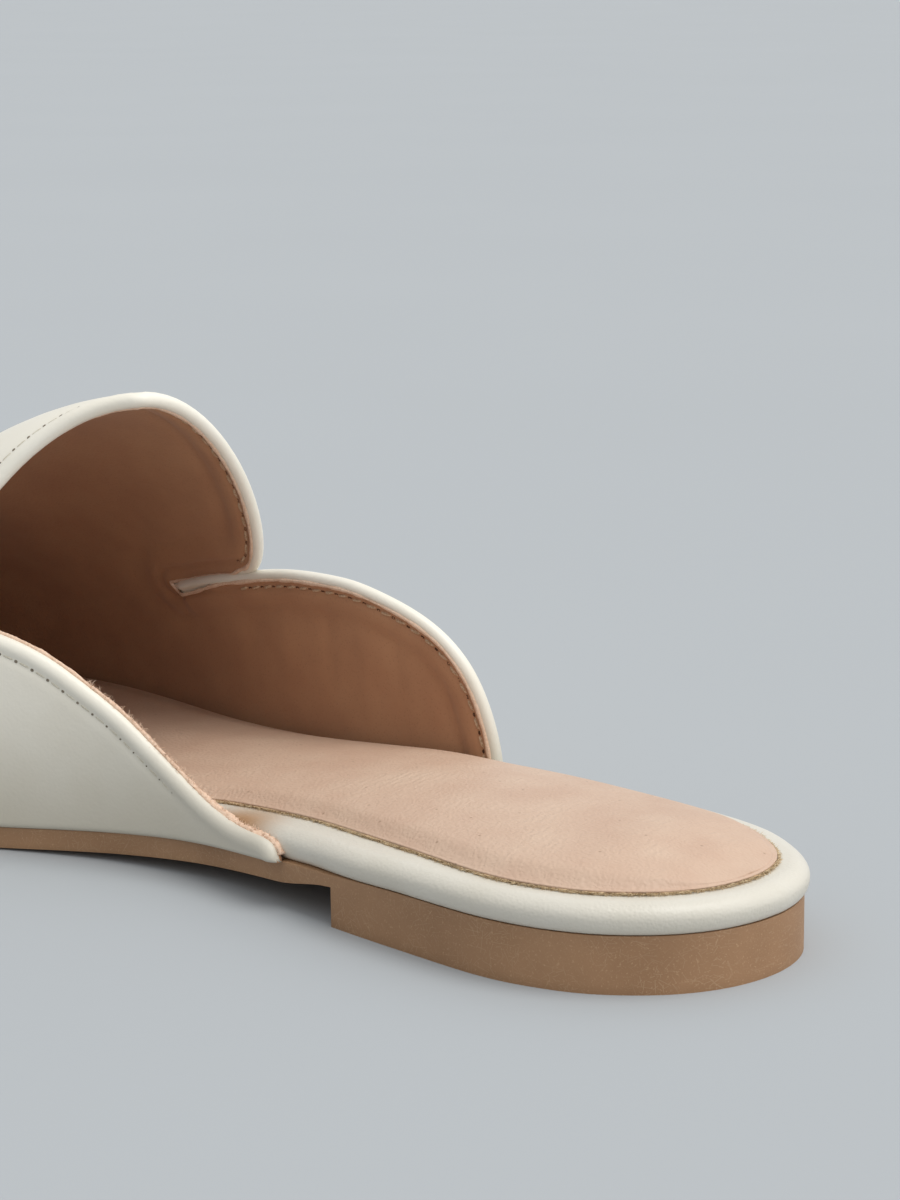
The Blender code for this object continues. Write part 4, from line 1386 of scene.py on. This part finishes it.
# the holes' dark colour is painted shade
add_piece("needle_holes",
          *needle_holes(spots, along, out, 0.26 * MM * hole_size[:, None, None]),
          hole_dark, "upper")

inner_groove = float(lining_depth(SEAM, LINING_START))
inside_seam = (SEAM, inner_groove, 3.6 * MM, 22 * MM)
spots, along, out = seam_places(*inside_seam, 1.0)
add_piece("stitches_inside",
          *bridges(spots, along, -out, 2.5 * MM, 0.30 * MM, 0.16 * MM, 0.20 * MM),
          thread_tan, "upper")
spots, along, out = seam_places(*inside_seam, 1.5)
add_piece("needle_holes_inside", *needle_holes(spots, along, -out, 0.30 * MM),
          lining_hole, "upper")

# %% [markdown]
# ## Loose fibres
#
# The knife tears fibres out of the insole's board and the lining's edge.  They are hairs about a
# millimetre long, and there are thousands, so each has only a few faces.  Their places, lengths and
# bends come from seeded random generators, so the picture is the same each time.

# %% Build the fibres
FIBRE = 0.06 * MM              # radius of a hair at its root


def fibre_mesh(roots, directions, lengths, droop):
    """Tapering hairs with three sides: root + direction u length - up droop u^2."""
    u = np.linspace(0, 1, 4)
    up = np.array([0, 0, 1.0])
    spine = roots[:, None, :] + directions[:, None, :] * (u[:, None] * lengths[:, None, None])
    spine = spine - up * (u ** 2)[:, None] * droop[:, None, None]
    side = unit(np.cross(directions, up))
    angle = np.linspace(0, 2 * np.pi, 4)[:-1]
    thick = (FIBRE * (1 - 0.75 * u))[:, None]
    rings = spine[:, :, None, :] + side[:, None, None, :] * (thick * np.cos(angle))[..., None]
    points, quads = join_tubes(rings + up * (thick * np.sin(angle))[..., None])
    return points, quads[:, ::-1]


# hairs round the bare part of the insole's edge
rng = np.random.default_rng(21)
loop = sole_loop(insole_edge_layer(BOARD_INSET, 0.35)[0])
loop_along, loop_out = ring_frame(loop)
pick = rng.choice(np.flatnonzero(loop[:, 0] < 0.40 * LENGTH), 2600)
spot = loop[pick] + (loop[(pick + 1) % len(loop)] - loop[pick]) * rng.uniform(0, 1, 2600)[:, None]
level = bed_top(spot[:, 0]) + TOUCH + EDGE_HIGH * rng.uniform(0.05, BOARD_SHARE, 2600)
flat = unit(loop_out[pick] + loop_along[pick] * rng.normal(0, 1.3, 2600)[:, None])
directions = unit(np.column_stack([flat, rng.normal(0.1, 0.35, 2600)]))
add_piece("insole_fibres",
          *fibre_mesh(np.column_stack([spot, level]), directions,
                      rng.uniform(0.25, 0.95, 2600) * MM,
                      rng.uniform(0, 0.2, 2600) * MM),
          fibre_tan, "insole")

# hairs along the lining's torn edge, from the inner quarter's tail upwards
rng = np.random.default_rng(34)
torn = np.flatnonzero((frame_run < 52 * MM) & (np.abs(edge_turn) < 0.99))
pick = torn[(len(torn) * rng.uniform(0, 1, 1500) ** 1.3).astype(int)]
roots = edge_line[pick] + rng.normal(0, 0.22 * MM, (1500, 3))
directions = unit(rng.normal(0, 0.8, (1500, 3)) + np.array([0, -0.35, 0.55]))
add_piece("lining_fuzz",
          *fibre_mesh(roots, directions, rng.uniform(0.35, 1.15, 1500) * MM,
                      rng.uniform(0, 0.25, 1500) * MM),
          edge_peach, "upper")

# %% [markdown]
# ## Floor, light and camera
#
# The picture is a studio shot on one seamless pale sheet.  A very wide plane does the same job: it
# fills the frame, so no horizon shows.  The light is soft and comes from above, from behind the shoe
# and from the right; the world gives the rest, brighter above than at the sides.

# %% Lay the floor
FLOOR_HALF = 20.0              # metres
paper, tree, shader, place = new_material("pale_studio_paper", 0.95, Specular_IOR_Level=0.1)
clouds = add_node(tree, "ShaderNodeTexNoise", {"Scale": 4.0, "Detail": 2.0}, {"Vector": place})
tint = add_node(tree, "ShaderNodeValToRGB", None, {"Fac": clouds},
                [(0.3, "#ABAFB2"), (0.7, "#ACB0B3")])
feed(tree, shader, {"Base Color": tint})
sheet = bpy.data.meshes.new("studio_floor")
sheet.from_pydata([(x * FLOOR_HALF, y * FLOOR_HALF, 0) for x, y in ((-1, -1), (1, -1), (1, 1), (-1, 1))],
                  [], [(0, 1, 2, 3)])
sheet.materials.append(paper)
studio_floor = bpy.data.objects.new("studio_floor", sheet)
bpy.context.scene.collection.objects.link(studio_floor)
print("floor laid")

# %% Set the lights
world = bpy.data.worlds.new("soft_surroundings")
world.use_nodes = True
tree = world.node_tree
back = tree.nodes["Background"]
back.inputs["Color"].default_value = (0.96, 0.98, 1.0, 1.0)
direction = add_node(tree, "ShaderNodeTexCoord").outputs["Generated"]
facing = add_node(tree, "ShaderNodeVectorMath", {1: (-0.46, -0.44, 0.77)}, {0: direction},
                  operation="DOT_PRODUCT")
glow = add_node(tree, "ShaderNodeMapRange", {"From Min": -0.7, "From Max": 1.0,
                                             "To Min": 0.31, "To Max": 1.04}, {"Value": facing})
feed(tree, back, {"Strength": glow})
bpy.context.scene.world = world


def soft_sun(name, energy, degrees, colour, location):
    """A wide soft light from a place towards the shoe."""
    lamp = bpy.data.lights.new(name, "SUN")
    lamp.energy = energy
    lamp.angle = np.radians(degrees)
    lamp.color = colour
    light = bpy.data.objects.new(name, lamp)
    bpy.context.scene.collection.objects.link(light)
    light.location = location
    light.rotation_euler = (-Vector(location)).to_track_quat("-Z", "Y").to_euler()
    return light


# the key comes from above and behind; the weaker one from low behind the heel reaches under the tab
soft_sun("soft_key", 1.28, 42, (1.0, 0.985, 0.96), (-0.55, -0.20, 1.60))
soft_sun("low_softbox", 0.47, 50, (1.0, 0.98, 0.95), (-1.0, -0.22, 0.50))
bpy.context.scene.view_settings.view_transform = "Standard"
print("lights set")

# %% Place the camera
CAMERA_AT = np.array([-242.27, 346.41, 149.93]) * MM
CAMERA_FORWARD = Vector((0.6431, -0.7352, -0.2142))
CAMERA_RIGHT = Vector((-0.7542, -0.6566, -0.0106))

lens = bpy.data.cameras.new("portrait_camera")
lens.sensor_width = 36.0       # mm, along the picture's long side
lens.lens = 90.0
lens.clip_start = 0.02
lens.clip_end = 100.0
camera = bpy.data.objects.new("portrait_camera", lens)
bpy.context.scene.collection.objects.link(camera)
forward = CAMERA_FORWARD.normalized()
right = (CAMERA_RIGHT - forward * CAMERA_RIGHT.dot(forward)).normalized()
turned = Matrix((right, right.cross(forward), -forward)).transposed()
camera.matrix_world = Matrix.Translation(Vector(CAMERA_AT + ORIGIN)) @ turned.to_4x4()
bpy.context.scene.camera = camera
print("camera at mm:", [round(value / MM) for value in camera.matrix_world.translation])
